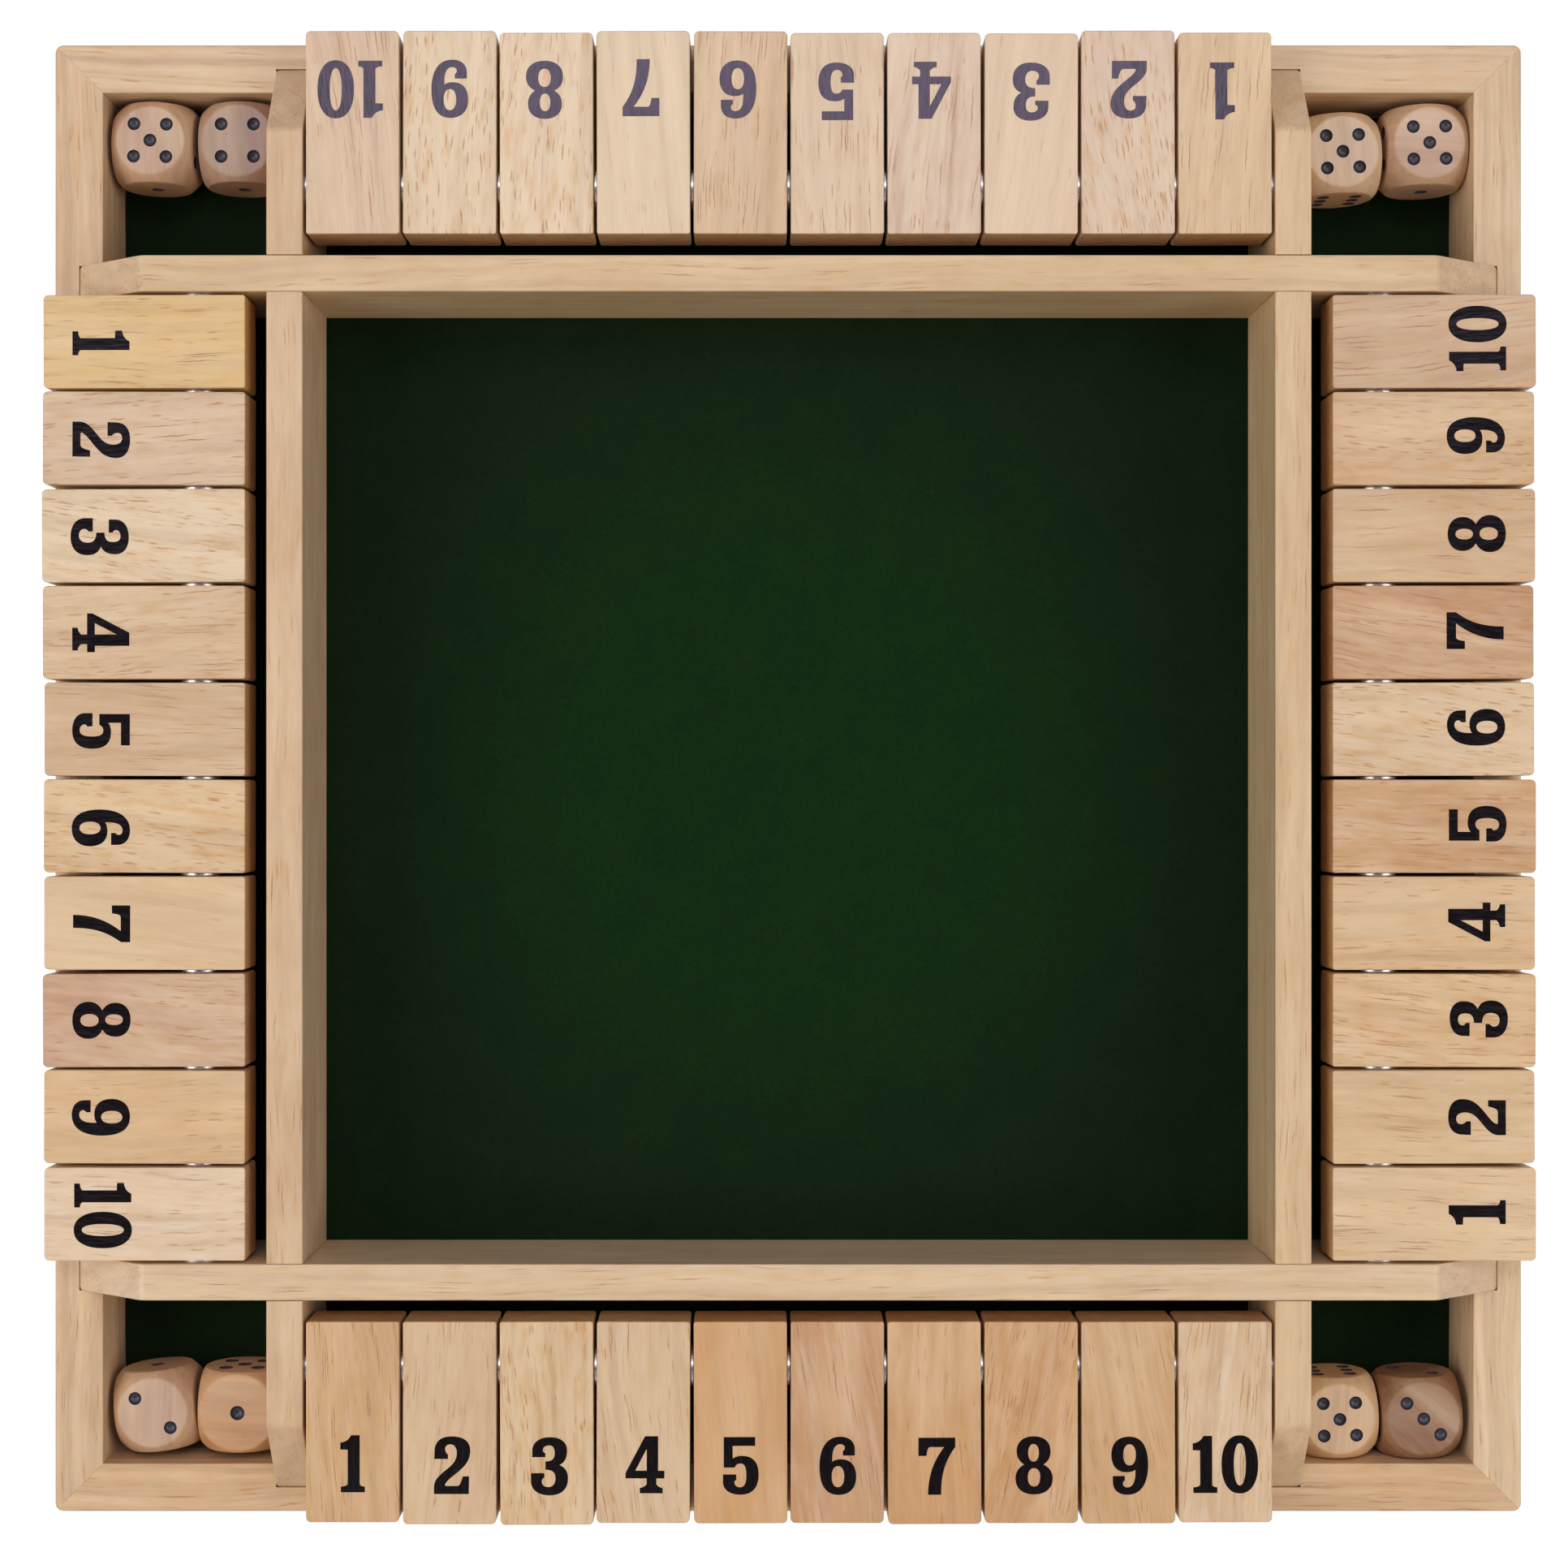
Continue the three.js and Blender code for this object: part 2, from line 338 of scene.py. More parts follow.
def soft_slab(
    low: np.ndarray,
    high: np.ndarray,
    edge: float,
    edge_steps: int,
    corners: Callable[[float], float | np.ndarray],
    steps: int,
) -> Surface:
    """A slab with upright corners and round edges at its underside and top.

    Its outline from above is a rectangle with round corners. From the underside to the top, the outline
    first grows and at last shrinks again along a quarter circle, which rounds both edges.

    Args:
        low: The lowest corner.
        high: The highest corner.
        edge: The radius of the edges at the underside and top.
        edge_steps: How many straight steps stand for such an edge.
        corners: Gives the radius of the upright corners where the outline has shrunk by a distance.
        steps: How many straight steps stand for an upright corner.

    Returns:
        The closed surface.
    """
    turn = arc(edge_steps)
    inset, rise = edge * (1 - turn[:, 0]), edge * (1 - turn[:, 1])
    heights = np.concatenate([low[2] + rise, (high[2] - rise)[::-1]])
    outlines = []
    for height, shrink in zip(heights, np.concatenate([inset, inset[::-1]])):
        flat = soft_rectangle(low[:2] + shrink, high[:2] - shrink, corners(shrink), steps)
        outlines.append(at_height(flat, height))
    return loft(np.stack(outlines))


def bare_object(surface: Surface, name: str) -> bpy.types.Object:
    """Makes an object of a surface, with its faces pointing out.

    The volume is the sum over the triangles of a . (b x c) / 6, and a negative one means that the faces
    point in and are flipped.

    Args:
        surface: The closed surface, in millimetres.
        name: The object's name.

    Returns:
        The object, linked to the scene, in metres.
    """
    mesh = bpy.data.meshes.new(name)
    mesh.from_pydata((surface.points * MM).tolist(), [], surface.faces)
    mesh.calc_loop_triangles()
    corners = np.array([triangle.vertices[:] for triangle in mesh.loop_triangles])
    a, b, c = np.moveaxis(surface.points[corners], 1, 0)
    if float(np.einsum("ij,ij->i", a, np.cross(b, c)).sum()) < 0:
        mesh.flip_normals()
    made = bpy.data.objects.new(name, mesh)
    bpy.context.scene.collection.objects.link(made)
    return made


def carved(solid: Surface, tools: Sequence[Surface]) -> Surface:
    """Cuts tools out of a solid.

    Args:
        solid: The closed surface that is cut.
        tools: The closed surfaces that are taken out of it.

    Returns:
        What is left, as arrays.
    """
    work = bare_object(solid, "work")
    cutters = [bare_object(tool, "cutter") for tool in tools]
    for cutter in cutters:
        cut = work.modifiers.new("cut", "BOOLEAN")
        cut.operation, cut.solver, cut.object = "DIFFERENCE", "EXACT", cutter
    mesh = work.evaluated_get(bpy.context.evaluated_depsgraph_get()).to_mesh()
    points = np.empty(3 * len(mesh.vertices))
    mesh.vertices.foreach_get("co", points)
    left = Surface(points.reshape(-1, 3) / MM, [polygon.vertices[:] for polygon in mesh.polygons])
    for used in (work, *cutters):
        bpy.data.objects.remove(used)
    return left


def block(low: Sequence[float], high: Sequence[float]) -> Surface:
    """A plain block, used to cut.

    Args:
        low: Its lowest corner.
        high: Its highest corner.

    Returns:
        The closed surface.
    """
    outline = soft_rectangle(low[:2], high[:2], 0, 1)[::2]
    floor = at_height(outline, low[2])
    return loft(np.stack([floor, floor + [0, 0, high[2] - low[2]]]))


def plate(contours: Sequence[np.ndarray], low: float, high: float) -> Surface:
    """A flat plate with holes.

    Args:
        contours: The outline, anticlockwise, and then each hole's outline, clockwise.
        low: The height of the underside.
        high: The height of the top.

    Returns:
        The closed surface.
    """
    flat = np.concatenate(contours)
    count = len(flat)
    top = filled(contours)
    faces = [*(top + count).tolist(), *top[:, ::-1].tolist()]
    start = 0
    for contour in contours:
        here = start + np.arange(len(contour))
        after = np.roll(here, -1)
        faces += np.stack([here, after, after + count, here + count], axis=-1).tolist()
        start += len(contour)
    under = at_height(flat, low)
    return Surface(np.concatenate([under, under + [0, 0, high - low]]), faces)


def filled(contours: Sequence[np.ndarray]) -> np.ndarray:
    """Splits a flat outline with holes into triangles.

    Args:
        contours: The outline and then each hole's outline, as rows of two coordinates.

    Returns:
        Rows of three point numbers, anticlockwise, that count through all the contours in order.
    """
    flat = np.concatenate(contours)
    loops = [[Vector((x, y, 0)) for x, y in contour] for contour in contours]
    corners = np.array(tessellate_polygon(loops))
    a, b, c = np.moveaxis(flat[corners], 1, 0)
    turned = (b[:, 0] - a[:, 0]) * (c[:, 1] - a[:, 1]) - (b[:, 1] - a[:, 1]) * (c[:, 0] - a[:, 0]) < 0
    corners[turned] = corners[turned][:, ::-1]
    return corners


def circle(centre: Sequence[float], across: float, up: float, count: int, fullness: float = 2) -> np.ndarray:
    """A circle, or the fuller oval where |x / across| ^ fullness + |y / up| ^ fullness is 1.

    Args:
        centre: The middle.
        across: The half width.
        up: The half height.
        count: How many points go round.
        fullness: 2 for a plain ellipse, and more for an oval with fuller corners.

    Returns:
        Rows of two coordinates, anticlockwise.
    """
    angle = np.linspace(0, 2 * math.pi, count, endpoint=False)
    cos, sin = np.cos(angle), np.sin(angle)
    power = 2 / fullness
    shape = np.stack([np.sign(cos) * np.abs(cos) ** power, np.sign(sin) * np.abs(sin) ** power], axis=-1)
    return np.asarray(centre, float) + shape * [across, up]


# Finishes


def linear(code: str) -> tuple[float, float, float, float]:
    """Turns an sRGB hex colour to linear light.

    Args:
        code: The colour as # and six hex digits.

    Returns:
        Red, green, blue and an alpha of 1.
    """
    parts = np.array([int(code[start:start + 2], 16) for start in (1, 3, 5)]) / 255
    light = np.where(parts <= 0.04045, parts / 12.92, ((parts + 0.055) / 1.055) ** 2.4)
    return (*(float(part) for part in light), 1.0)


def per_mm(length: float, width: float) -> tuple[float, float, float]:
    """How many cells of a pattern fit in a millimetre along its fibres and on both axes across them."""
    return 1 / length, 1 / width, 1 / width


# What adds a node to a tree, and a node's inputs by their names or numbers
AddNode = Callable[..., Any]
Inputs = dict[str | int, Any]


def add_node(
    tree: bpy.types.NodeTree,
    kind: str,
    inputs: Inputs | Sequence[Any],
    output: str | int = 0,
    **settings: Any,
) -> Any:
    """Adds a node to a tree with its settings and links.

    Args:
        tree: The node tree.
        kind: The node's type, without the word ShaderNode that it starts with.
        inputs: The socket that feeds each input, or its value, by the input's name or number, or in order
            from the first input.
        output: The name or number of the output that is wanted.
        **settings: The node's own properties.

    Returns:
        The wanted output socket, or None if the node has no outputs.
    """
    node = tree.nodes.new("ShaderNode" + kind)
    for name, value in settings.items():
        setattr(node, name, value)
    for socket, value in inputs.items() if isinstance(inputs, dict) else enumerate(inputs):
        if isinstance(value, bpy.types.NodeSocket):
            tree.links.new(value, node.inputs[socket])
        else:
            node.inputs[socket].default_value = value
    return node.outputs[output] if len(node.outputs) else None


# A Mix node set to colours takes its two colours at these sockets and gives the mix at the last one.
MIX_A, MIX_B, MIXED = 6, 7, 2


@dataclass(frozen=True)
class Finish:
    """A finish. Each kind below adds what its own surface needs.

    Attributes:
        name: The material's name.
    """

    name: str

    def shade(self, add: AddNode) -> Inputs:
        """Adds the nodes of the finish's pattern.

        Args:
            add: Adds a node to the material's tree.

        Returns:
            The inputs of the surface's shader.
        """
        raise NotImplementedError

    def build(self) -> bpy.types.Material:
        """Builds the material, whose one shader gets the pattern.

        Returns:
            The material.
        """
        material = bpy.data.materials.new(self.name)
        material.use_nodes = True
        material.node_tree.nodes.clear()
        add = partial(add_node, material.node_tree)
        add("OutputMaterial", {"Surface": add("BsdfPrincipled", self.shade(add))})
        return material


@dataclass(frozen=True)
class Rubberwood(Finish):
    """Rubberwood, sawn, sanded and sprayed with a satin lacquer.

    The eye gets a pale ground with soft bands and light streaks along the fibres, short golden-brown pores
    in loose drifts, thin dark lines, and end grain with dots where the same vessels are cut across. The
    pattern follows the attribute grain_place, in millimetres, whose first axis runs along the fibres. The
    attribute figure holds how many of the pores show, how many of the lines, and how strong the streaks
    are. A real pore is about 0.1 mm wide, and it is drawn coarser so that it shows.

    Attributes:
        roughness: The satin of the lacquer.
        pore: Length and width of the space that one pore has.
        pore_dark: How strongly a pore shows, from 0 to 1.
        line: Length and width of the space that one dark line has.
        line_dark: How strongly a line shows, from 0 to 1.
        band: Length and width of the soft bands.
        band_depth: How much lighter and darker the bands are.
        end_shade: The colour that end grain is multiplied by.
        wander: Length and width of the waves in which the fibres wander sideways.
        wobble: Length and width of the waves in which a vessel wobbles.
        relief: How deep the pores are, in millimetres.
    """

    roughness: float = 0.42
    pore: tuple[float, float] = (4.6, 0.5)
    pore_dark: float = 0.8
    line: tuple[float, float] = (15.0, 0.4)
    line_dark: float = 0.7
    band: tuple[float, float] = (70.0, 3.2)
    band_depth: float = 0.07
    end_shade: str = "#e5d0b6"
    wander: tuple[float, float] = (46.0, 15.0)
    wobble: tuple[float, float] = (2.4, 0.9)
    relief: float = 0.05

    def shade(self, add: AddNode) -> Inputs:
        """Adds the nodes of the wood.

        A vessel is the middle of a long thin cell. It shows where the cell's own random number and the
        figure times the local drift add up to more than 1, so a strong figure shows more vessels.

        Args:
            add: Adds a node to the material's tree.

        Returns:
            The inputs of the surface's shader.
        """
        place = add("Attribute", {}, "Vector", attribute_name="grain_place")
        tint = add("Attribute", {}, "Color", attribute_name="tint")
        end = add("Attribute", {}, "Fac", attribute_name="end_grain")
        figure = add("Attribute", {}, "Vector", attribute_name="figure")
        pored, lined, streaked = add("SeparateXYZ", [figure]).node.outputs

        # The fibres wander sideways by up to about a millimetre, and hardly at all out of the board.
        cells = add("VectorMath", (place, per_mm(*self.wander)), operation="MULTIPLY")
        sway = add("TexNoise", {"Vector": cells, "Scale": 1.0, "Detail": 1.0}, "Color")
        fibres = add("VectorMath", (sway, (0.0, 6.0, 0.6), place), operation="MULTIPLY_ADD")

        # Length and width in millimetres, and detail, of the bands, the fibre threads, the clouds, the
        # mottle, the light streaks, and the drifts and swaths in which the pores and the lines lie
        soft = []
        for length, width, detail in (
            (*self.band, 2.0), (7.0, 0.5, 3.0), (30.0, 10.0, 1.0), (6.0, 1.7, 4.0),
            (34.0, 1.5, 3.0), (22.0, 3.6, 1.0), (50.0, 5.0, 1.0),
        ):
            cells = add("VectorMath", (fibres, per_mm(length, width)), operation="MULTIPLY")
            soft.append(add("TexNoise", {"Vector": cells, "Scale": 1.0, "Detail": detail}))
        bands, threads, clouds, mottle, streaks, drifts, swaths = soft

        # A vessel wobbles by some tenths of a millimetre on its way.
        cells = add("VectorMath", (fibres, per_mm(*self.wobble)), operation="MULTIPLY")
        wobble = add("TexNoise", {"Vector": cells, "Scale": 1.0, "Detail": 1.0}, "Color")
        paths = add("VectorMath", (wobble, (3.0, 0.5, 0.2), fibres), operation="MULTIPLY_ADD")

        vessels = []
        for space, dark, drift, shown in (
            (self.pore, self.pore_dark, drifts, pored), (self.line, self.line_dark, swaths, lined)
        ):
            cells = add("VectorMath", (paths, per_mm(*space)), operation="MULTIPLY")
            cell = add("TexVoronoi", {"Vector": cells, "Scale": 1.0})
            own = add("SeparateColor", [cell.node.outputs["Color"]])
            many = add("MapRange", (drift, 0.38, 0.6, 0.25, 1.0))
            sure = add("Math", (many, shown, own), operation="MULTIPLY_ADD")
            core = add("MapRange", (cell, 0.42, 0.12, 0.0, 1.0), interpolation_type="SMOOTHSTEP")
            depth = add("MapRange", (sure, 1.0, 1.3, 0.1, dark))
            shown_here = add("Math", (sure, 1.0), operation="GREATER_THAN")
            depth = add("Math", (depth, shown_here), operation="MULTIPLY")
            vessels.append(add("Math", (core, depth), operation="MULTIPLY"))
        pores, lines = vessels

        lowest, highest = 1 - self.band_depth, 1 + self.band_depth
        ground = tint
        for share, coat, blend in (
            (add("MapRange", (clouds, 0.42, 0.68, 0.0, 0.3)), linear("#efd8b0"), "MIX"),
            (1.0, add("MapRange", (bands, 0.3, 0.7, lowest, highest)), "MULTIPLY"),
            (add("MapRange", (bands, 0.46, 0.28, 0.0, streaked)), linear("#c08e60"), "MIX"),
            (add("MapRange", (streaks, 0.5, 0.75, 0.0, streaked)), linear("#f1e1c8"), "MIX"),
            (add("MapRange", (mottle, 0.5, 0.25, 0.0, pored)), linear("#f3e2c8"), "MULTIPLY"),
            (add("MapRange", (mottle, 0.5, 0.75, 0.05, streaked)), linear("#f2e0c6"), "MIX"),
            (1.0, add("MapRange", (threads, 0.3, 0.7, 0.97, 1.03)), "MULTIPLY"),
            (pores, linear("#bf8a50"), "MIX"),
            (lines, linear("#a8734e"), "MIX"),
            (add("MapRange", (end, 0.35, 0.85, 0.0, 1.0)), linear(self.end_shade), "MULTIPLY"),
        ):
            ground = add(
                "Mix", {0: share, MIX_A: ground, MIX_B: coat}, MIXED, data_type="RGBA", blend_type=blend
            )

        raised = add("Math", (threads, 0.25), operation="MULTIPLY")
        height = add("Math", (pores, -1.0, raised), operation="MULTIPLY_ADD")
        return {
            "Base Color": ground,
            "Roughness": add("MapRange", (threads, 0.3, 0.7, self.roughness - 0.05, self.roughness + 0.06)),
            "IOR": 1.5,
            "Normal": add("Bump", {"Strength": 0.5, "Distance": self.relief * MM, "Height": height}),
        }


@dataclass(frozen=True)
class PrintInk(Finish):
    """Black ink, pad printed on the lacquered wood.

    The eye gets a near-black that takes a soft grey shine towards the light, with fine streaks where the
    ink follows the fibres of the tile under it.

    Attributes:
        roughness: The gloss of the ink.
        streak: Length and width of a streak.
        relief: How far the ink follows the fibres, in millimetres.
    """

    name: str = "pad_printed_black_ink"
    roughness: float = 0.17
    streak: tuple[float, float] = (3.5, 0.4)
    relief: float = 0.04

    def shade(self, add: AddNode) -> Inputs:
        """Adds the nodes of the ink.

        Args:
            add: Adds a node to the material's tree.

        Returns:
            The inputs of the surface's shader.
        """
        place = add("Attribute", {}, "Vector", attribute_name="grain_place")
        cells = add("VectorMath", (place, per_mm(*self.streak)), operation="MULTIPLY")
        fibres = add("TexNoise", {"Vector": cells, "Scale": 1.0, "Detail": 3.0})
        colors = {0: fibres, MIX_A: linear("#060404"), MIX_B: linear("#0e0a0a")}
        return {
            "Base Color": add("Mix", colors, MIXED, data_type="RGBA"),
            "Roughness": add("MapRange", (fibres, 0.35, 0.65, self.roughness + 0.08, self.roughness - 0.06)),
            "IOR": 1.5,
            "Specular Tint": linear("#f1def1"),
            "Normal": add("Bump", {"Strength": 0.5, "Distance": self.relief * MM, "Height": fibres}),
        }


@dataclass(frozen=True)
class SpotPaint(Finish):
    """Slate-coloured enamel in the drilled spots of the dice.

    The eye gets a dark blue-grey hollow with a soft shine at its bottom.

    Attributes:
        roughness: The gloss of the enamel.
        patch: How wide the patches of its mottle are, in millimetres.
        relief: How uneven it is, in millimetres.
    """

    name: str = "slate_enamel_in_drilled_spots"
    roughness: float = 0.36
    patch: float = 0.625
    relief: float = 0.05

    def shade(self, add: AddNode) -> Inputs:
        """Adds the nodes of the enamel.

        Args:
            add: Adds a node to the material's tree.

        Returns:
            The inputs of the surface's shader.
        """
        place = add("Attribute", {}, "Vector", attribute_name="grain_place")
        mottle = add("TexNoise", {"Vector": place, "Scale": 1 / self.patch, "Detail": 3.0})
        colors = {0: mottle, MIX_A: linear("#221f2a"), MIX_B: linear("#3a3646")}
        return {
            "Base Color": add("Mix", colors, MIXED, data_type="RGBA"),
            "Roughness": self.roughness,
            "IOR": 1.5,
            "Normal": add("Bump", {"Strength": 0.4, "Distance": self.relief * MM, "Height": mottle}),
        }


@dataclass(frozen=True)
class ZincSteel(Finish):
    """Mild steel, drawn or punched and plated with bright zinc.

    The eye gets a clear grey metal with crisp glints, fine drawing lines and a slightly uneven shine.

    Attributes:
        roughness: The blur of its reflections.
        drawing: Length and width of a drawing line.
        relief: How deep the lines are, in millimetres.
    """

    name: str = "zinc_plated_steel"
    roughness: float = 0.27
    drawing: tuple[float, float] = (6.0, 0.25)
    relief: float = 0.02

    def shade(self, add: AddNode) -> Inputs:
        """Adds the nodes of the metal.

        Args:
            add: Adds a node to the material's tree.

        Returns:
            The inputs of the surface's shader.
        """
        place = add("TexCoord", {}, "Object")
        cells = add("VectorMath", (place, per_mm(*self.drawing)), operation="MULTIPLY")
        drawn = add("TexNoise", {"Vector": cells, "Scale": 1 / MM, "Detail": 2.0})
        colors = {0: drawn, MIX_A: linear("#c3c4c6"), MIX_B: linear("#dcdddd")}
        return {
            "Base Color": add("Mix", colors, MIXED, data_type="RGBA"),
            "Metallic": 1.0,
            "Roughness": add("MapRange", (drawn, 0.3, 0.7, self.roughness - 0.05, self.roughness + 0.09)),
            "Normal": add("Bump", {"Strength": 0.3, "Distance": self.relief * MM, "Height": drawn}),
        }


@dataclass(frozen=True)
class GreenFelt(Finish):
    """Pressed wool felt, dyed bottle green.

    The eye gets a deep, shineless green with a faint mottle and a soft nap at grazing light. Towards the
    walls the green is painted darker and less green, as painted shade where the walls shade the felt.
    The fibres are about 0.03 mm thick, and their tufts are drawn 0.5 mm wide so that they show.

    Attributes:
        nap: How wide a tuft is, in millimetres.
        relief: How deep the nap is, in millimetres.
        patch: How wide the patches of the mottle are, in millimetres.
        fresh: How far from the middle the painted shade towards the walls begins, in millimetres.
        dull: How far from the middle the painted shade is darkest.
        dust: The colour that the green is multiplied by where the painted shade is darkest.
    """

    name: str = "pressed_wool_felt_bottle_green"
    nap: float = 0.5
    relief: float = 0.12
    patch: float = 9.0
    fresh: float = 48.0
    dull: float = 104.0
    dust: str = "#ffccff"

    def shade(self, add: AddNode) -> Inputs:
        """Adds the nodes of the felt.

        Args:
            add: Adds a node to the material's tree.

        Returns:
            The inputs of the surface's shader.
        """
        place = add("TexCoord", {}, "Object")
        tufts = add(
            "TexNoise", {"Vector": place, "Scale": 1 / (self.nap * MM), "Detail": 3.0, "Roughness": 0.65}
        )
        patches = add("TexNoise", {"Vector": place, "Scale": 1 / (self.patch * MM), "Detail": 2.0})
        colors = {0: patches, MIX_A: linear("#0d2811"), MIX_B: linear("#152f10")}
        ground = add("Mix", colors, MIXED, data_type="RGBA")
        # Painted shade: from some way out to the walls, the green is multiplied by a darker, less green
        # colour, as if the walls shaded the felt.
        away = add("VectorMath", [place], "Value", operation="LENGTH")
        painted_shade_share = add("MapRange", (away, self.fresh * MM, self.dull * MM))
        colors = {0: painted_shade_share, MIX_A: ground, MIX_B: linear(self.dust)}
        ground = add("Mix", colors, MIXED, data_type="RGBA", blend_type="MULTIPLY")
        spread = add("MapRange", (tufts, 0.3, 0.75, 0.78, 1.3))
        colors = {0: 1.0, MIX_A: ground, MIX_B: spread}
        return {
            "Base Color": add("Mix", colors, MIXED, data_type="RGBA", blend_type="MULTIPLY"),
            "Roughness": 0.95,
            "Specular IOR Level": 0.08,
            "Sheen Weight": 0.04,
            "Sheen Roughness": 0.5,
            "Sheen Tint": linear("#6f8a66"),
            "Normal": add("Bump", {"Strength": 0.6, "Distance": self.relief * MM, "Height": tufts}),
        }


TILE_WOOD = Rubberwood("rubberwood_tile_satin_lacquer")
RAIL_WOOD = Rubberwood(
    "rubberwood_rail_satin_lacquer", pore=(8.0, 0.6), pore_dark=0.5, band=(150.0, 2.4), end_shade="#f6f4ff"
)
# The sloping ends of the rails that pass under at the lap joints, which face front and back, are painted a
# little darker and browner as painted shade.
SHADED_LAPPED_RAIL_WOOD = replace(RAIL_WOOD, name="rubberwood_lapped_rail_satin_lacquer", end_shade="#ece2e0")
WALL_WOOD = Rubberwood(
    "rubberwood_frame_satin_lacquer", pore=(8.0, 0.6), band=(130.0, 1.7), band_depth=0.13
)
DICE_WOOD = Rubberwood(
    "rubberwood_dice_tumbled", roughness=0.48, pore_dark=0.3, line_dark=0.45, band=(30.0, 1.8),
    band_depth=0.1, end_shade="#f8ecd8",
)
BASE_WOOD = Rubberwood(
    "bare_plywood_base", roughness=0.72, pore=(14.0, 1.2), pore_dark=0.5, band=(160.0, 9.0)
)


@dataclass
class Finishes:
    """The materials of the whole object, each made once."""

    tile: bpy.types.Material = field(default_factory=TILE_WOOD.build)
    rail: bpy.types.Material = field(default_factory=RAIL_WOOD.build)
    lapped_rail: bpy.types.Material = field(default_factory=SHADED_LAPPED_RAIL_WOOD.build)
    wall: bpy.types.Material = field(default_factory=WALL_WOOD.build)
    dice: bpy.types.Material = field(default_factory=DICE_WOOD.build)
    board: bpy.types.Material = field(default_factory=BASE_WOOD.build)
    ink: bpy.types.Material = field(default_factory=PrintInk().build)
    paint: bpy.types.Material = field(default_factory=SpotPaint().build)
    steel: bpy.types.Material = field(default_factory=ZincSteel().build)
    felt: bpy.types.Material = field(default_factory=GreenFelt().build)


@dataclass(frozen=True)
class Board:
    """The board that a wooden piece is cut from, and how its fibres lie in the piece.

    Attributes:
        tint: The board's colour.
        seed: Picks the part of the board, so that no two pieces look alike.
        along: The direction of the fibres in the finished box.
        slant: The most that the fibres run askew along the board's face, in degrees.
        figure: What the wood shows most.
        runout: The most that the fibres run out of the board's face, in degrees.
        shade: The most that the piece is lighter or darker than its colour, as a share.
        reach: The size of the wood that the pieces are cut from, in millimetres.
    """

    tint: Tint
    seed: int
    along: tuple[float, float, float]
    slant: float = 1.5
    figure: Figure = Figure.FAINT
    runout: float = 0.8
    shade: float = 0.025
    reach: float = 400.0

    def axes(self, rng: np.random.Generator) -> np.ndarray:
        """The directions that the fibres' place is measured along.

        Args:
            rng: Picks how the fibres run askew.

        Returns:
            Three unit vectors as rows, of which the first runs along the fibres.
        """
        yaw, pitch = np.radians(rng.uniform(-1, 1, 2) * [self.slant, self.runout])
        along = np.array(self.along, float)
        side = np.cross([0, 0, 1], along) if abs(along[2]) < 0.9 else np.array([0.0, 1.0, 0.0])
        up = np.cross(along, side)
        fibres = along + math.tan(yaw) * side + math.tan(pitch) * up
        fibres /= np.linalg.norm(fibres)
        side = side - (side @ fibres) * fibres
        side /= np.linalg.norm(side)
        return np.stack([fibres, side, np.cross(fibres, side)])

    def mark(self, mesh: bpy.types.Mesh, browned: np.ndarray | None = None) -> None:
        """Writes the attributes that the wood and ink finishes read.

        grain_place is the point's place in the board: its products with three unit vectors, of which the
        first runs along the fibres, plus a random shift. end_grain is how squarely a face cuts the fibres.

        Args:
            mesh: The mesh, in metres.
            browned: For each face, a least value of end_grain, where turning has browned the wood.
        """
        rng = np.random.default_rng((SEED, self.seed))
        axes = self.axes(rng)
        count = len(mesh.vertices)
        points = np.empty(3 * count)
        mesh.vertices.foreach_get("co", points)
        place = points.reshape(-1, 3) / MM @ axes.T + rng.uniform(0, self.reach, 3)
        tone = 1 + rng.uniform(-self.shade, self.shade)
        color = np.append(np.array(linear(self.tint.value))[:3] * tone, 1)
        normals = np.empty(3 * len(mesh.polygons))
        mesh.polygons.foreach_get("normal", normals)
        end = np.abs(normals.reshape(-1, 3) @ axes[0])
        if browned is not None:
            end = np.maximum(end, browned)
        for name, kind, where, key, values in (
            ("grain_place", "FLOAT_VECTOR", "POINT", "vector", place),
            ("tint", "FLOAT_COLOR", "POINT", "color", np.tile(color, count)),
            ("figure", "FLOAT_VECTOR", "POINT", "vector", np.tile(self.figure.value, count)),
            ("end_grain", "FLOAT", "FACE", "value", end),
        ):
            mesh.attributes.new(name, kind, where).data.foreach_set(key, values.ravel())


@dataclass
class Piece:
    """A finished piece on its way into the scene.

    Attributes:
        name: The piece's name.
        body: The model's body that it moves with.
        slot: The record's material slot, or nothing where the record has none for it. It is not used.
        nodes: The model's nodes that it stands for.
    """

    name: str
    body: str = "root"
    slot: str = ""
    nodes: tuple[str, ...] = ()

    def make(
        self,
        surface: Surface,
        materials: Sequence[bpy.types.Material],
        board: Board | None = None,
        crease: float = 28,
        browned: np.ndarray | None = None,
    ) -> bpy.types.Object:
        """Writes the mesh, shades it, dresses it and ties it to its body.

        Args:
            surface: The piece's closed surface.
            materials: Its material, and the material of its marked faces.
            board: The board that it is cut from, for wood.
            crease: The angle in degrees past which an edge stays crisp.
            browned: For each face, how browned the wood is, from 0 to 1.

        Returns:
            The piece's object.
        """
        made = bare_object(surface, self.name)
        mesh = made.data
        for material in materials:
            mesh.materials.append(material)
        if surface.marked:
            mesh.polygons.foreach_set("material_index", np.array(surface.marked, np.int32))
        mesh.shade_smooth()
        mesh.set_sharp_from_angle(angle=math.radians(crease))
        if board is not None:
            board.mark(mesh, browned)
        # Large flat faces keep their own normal, so that they stay flat beside their rounded edges.
        weighted = made.modifiers.new("flat_faces_stay_flat", "WEIGHTED_NORMAL")
        weighted.keep_sharp = True
        weighted.weight = 100
        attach(made, self.body)
        if self.nodes:
            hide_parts(*self.nodes)
        log.info("%s: %d faces", self.name, len(mesh.polygons))
        return made


# Numerals


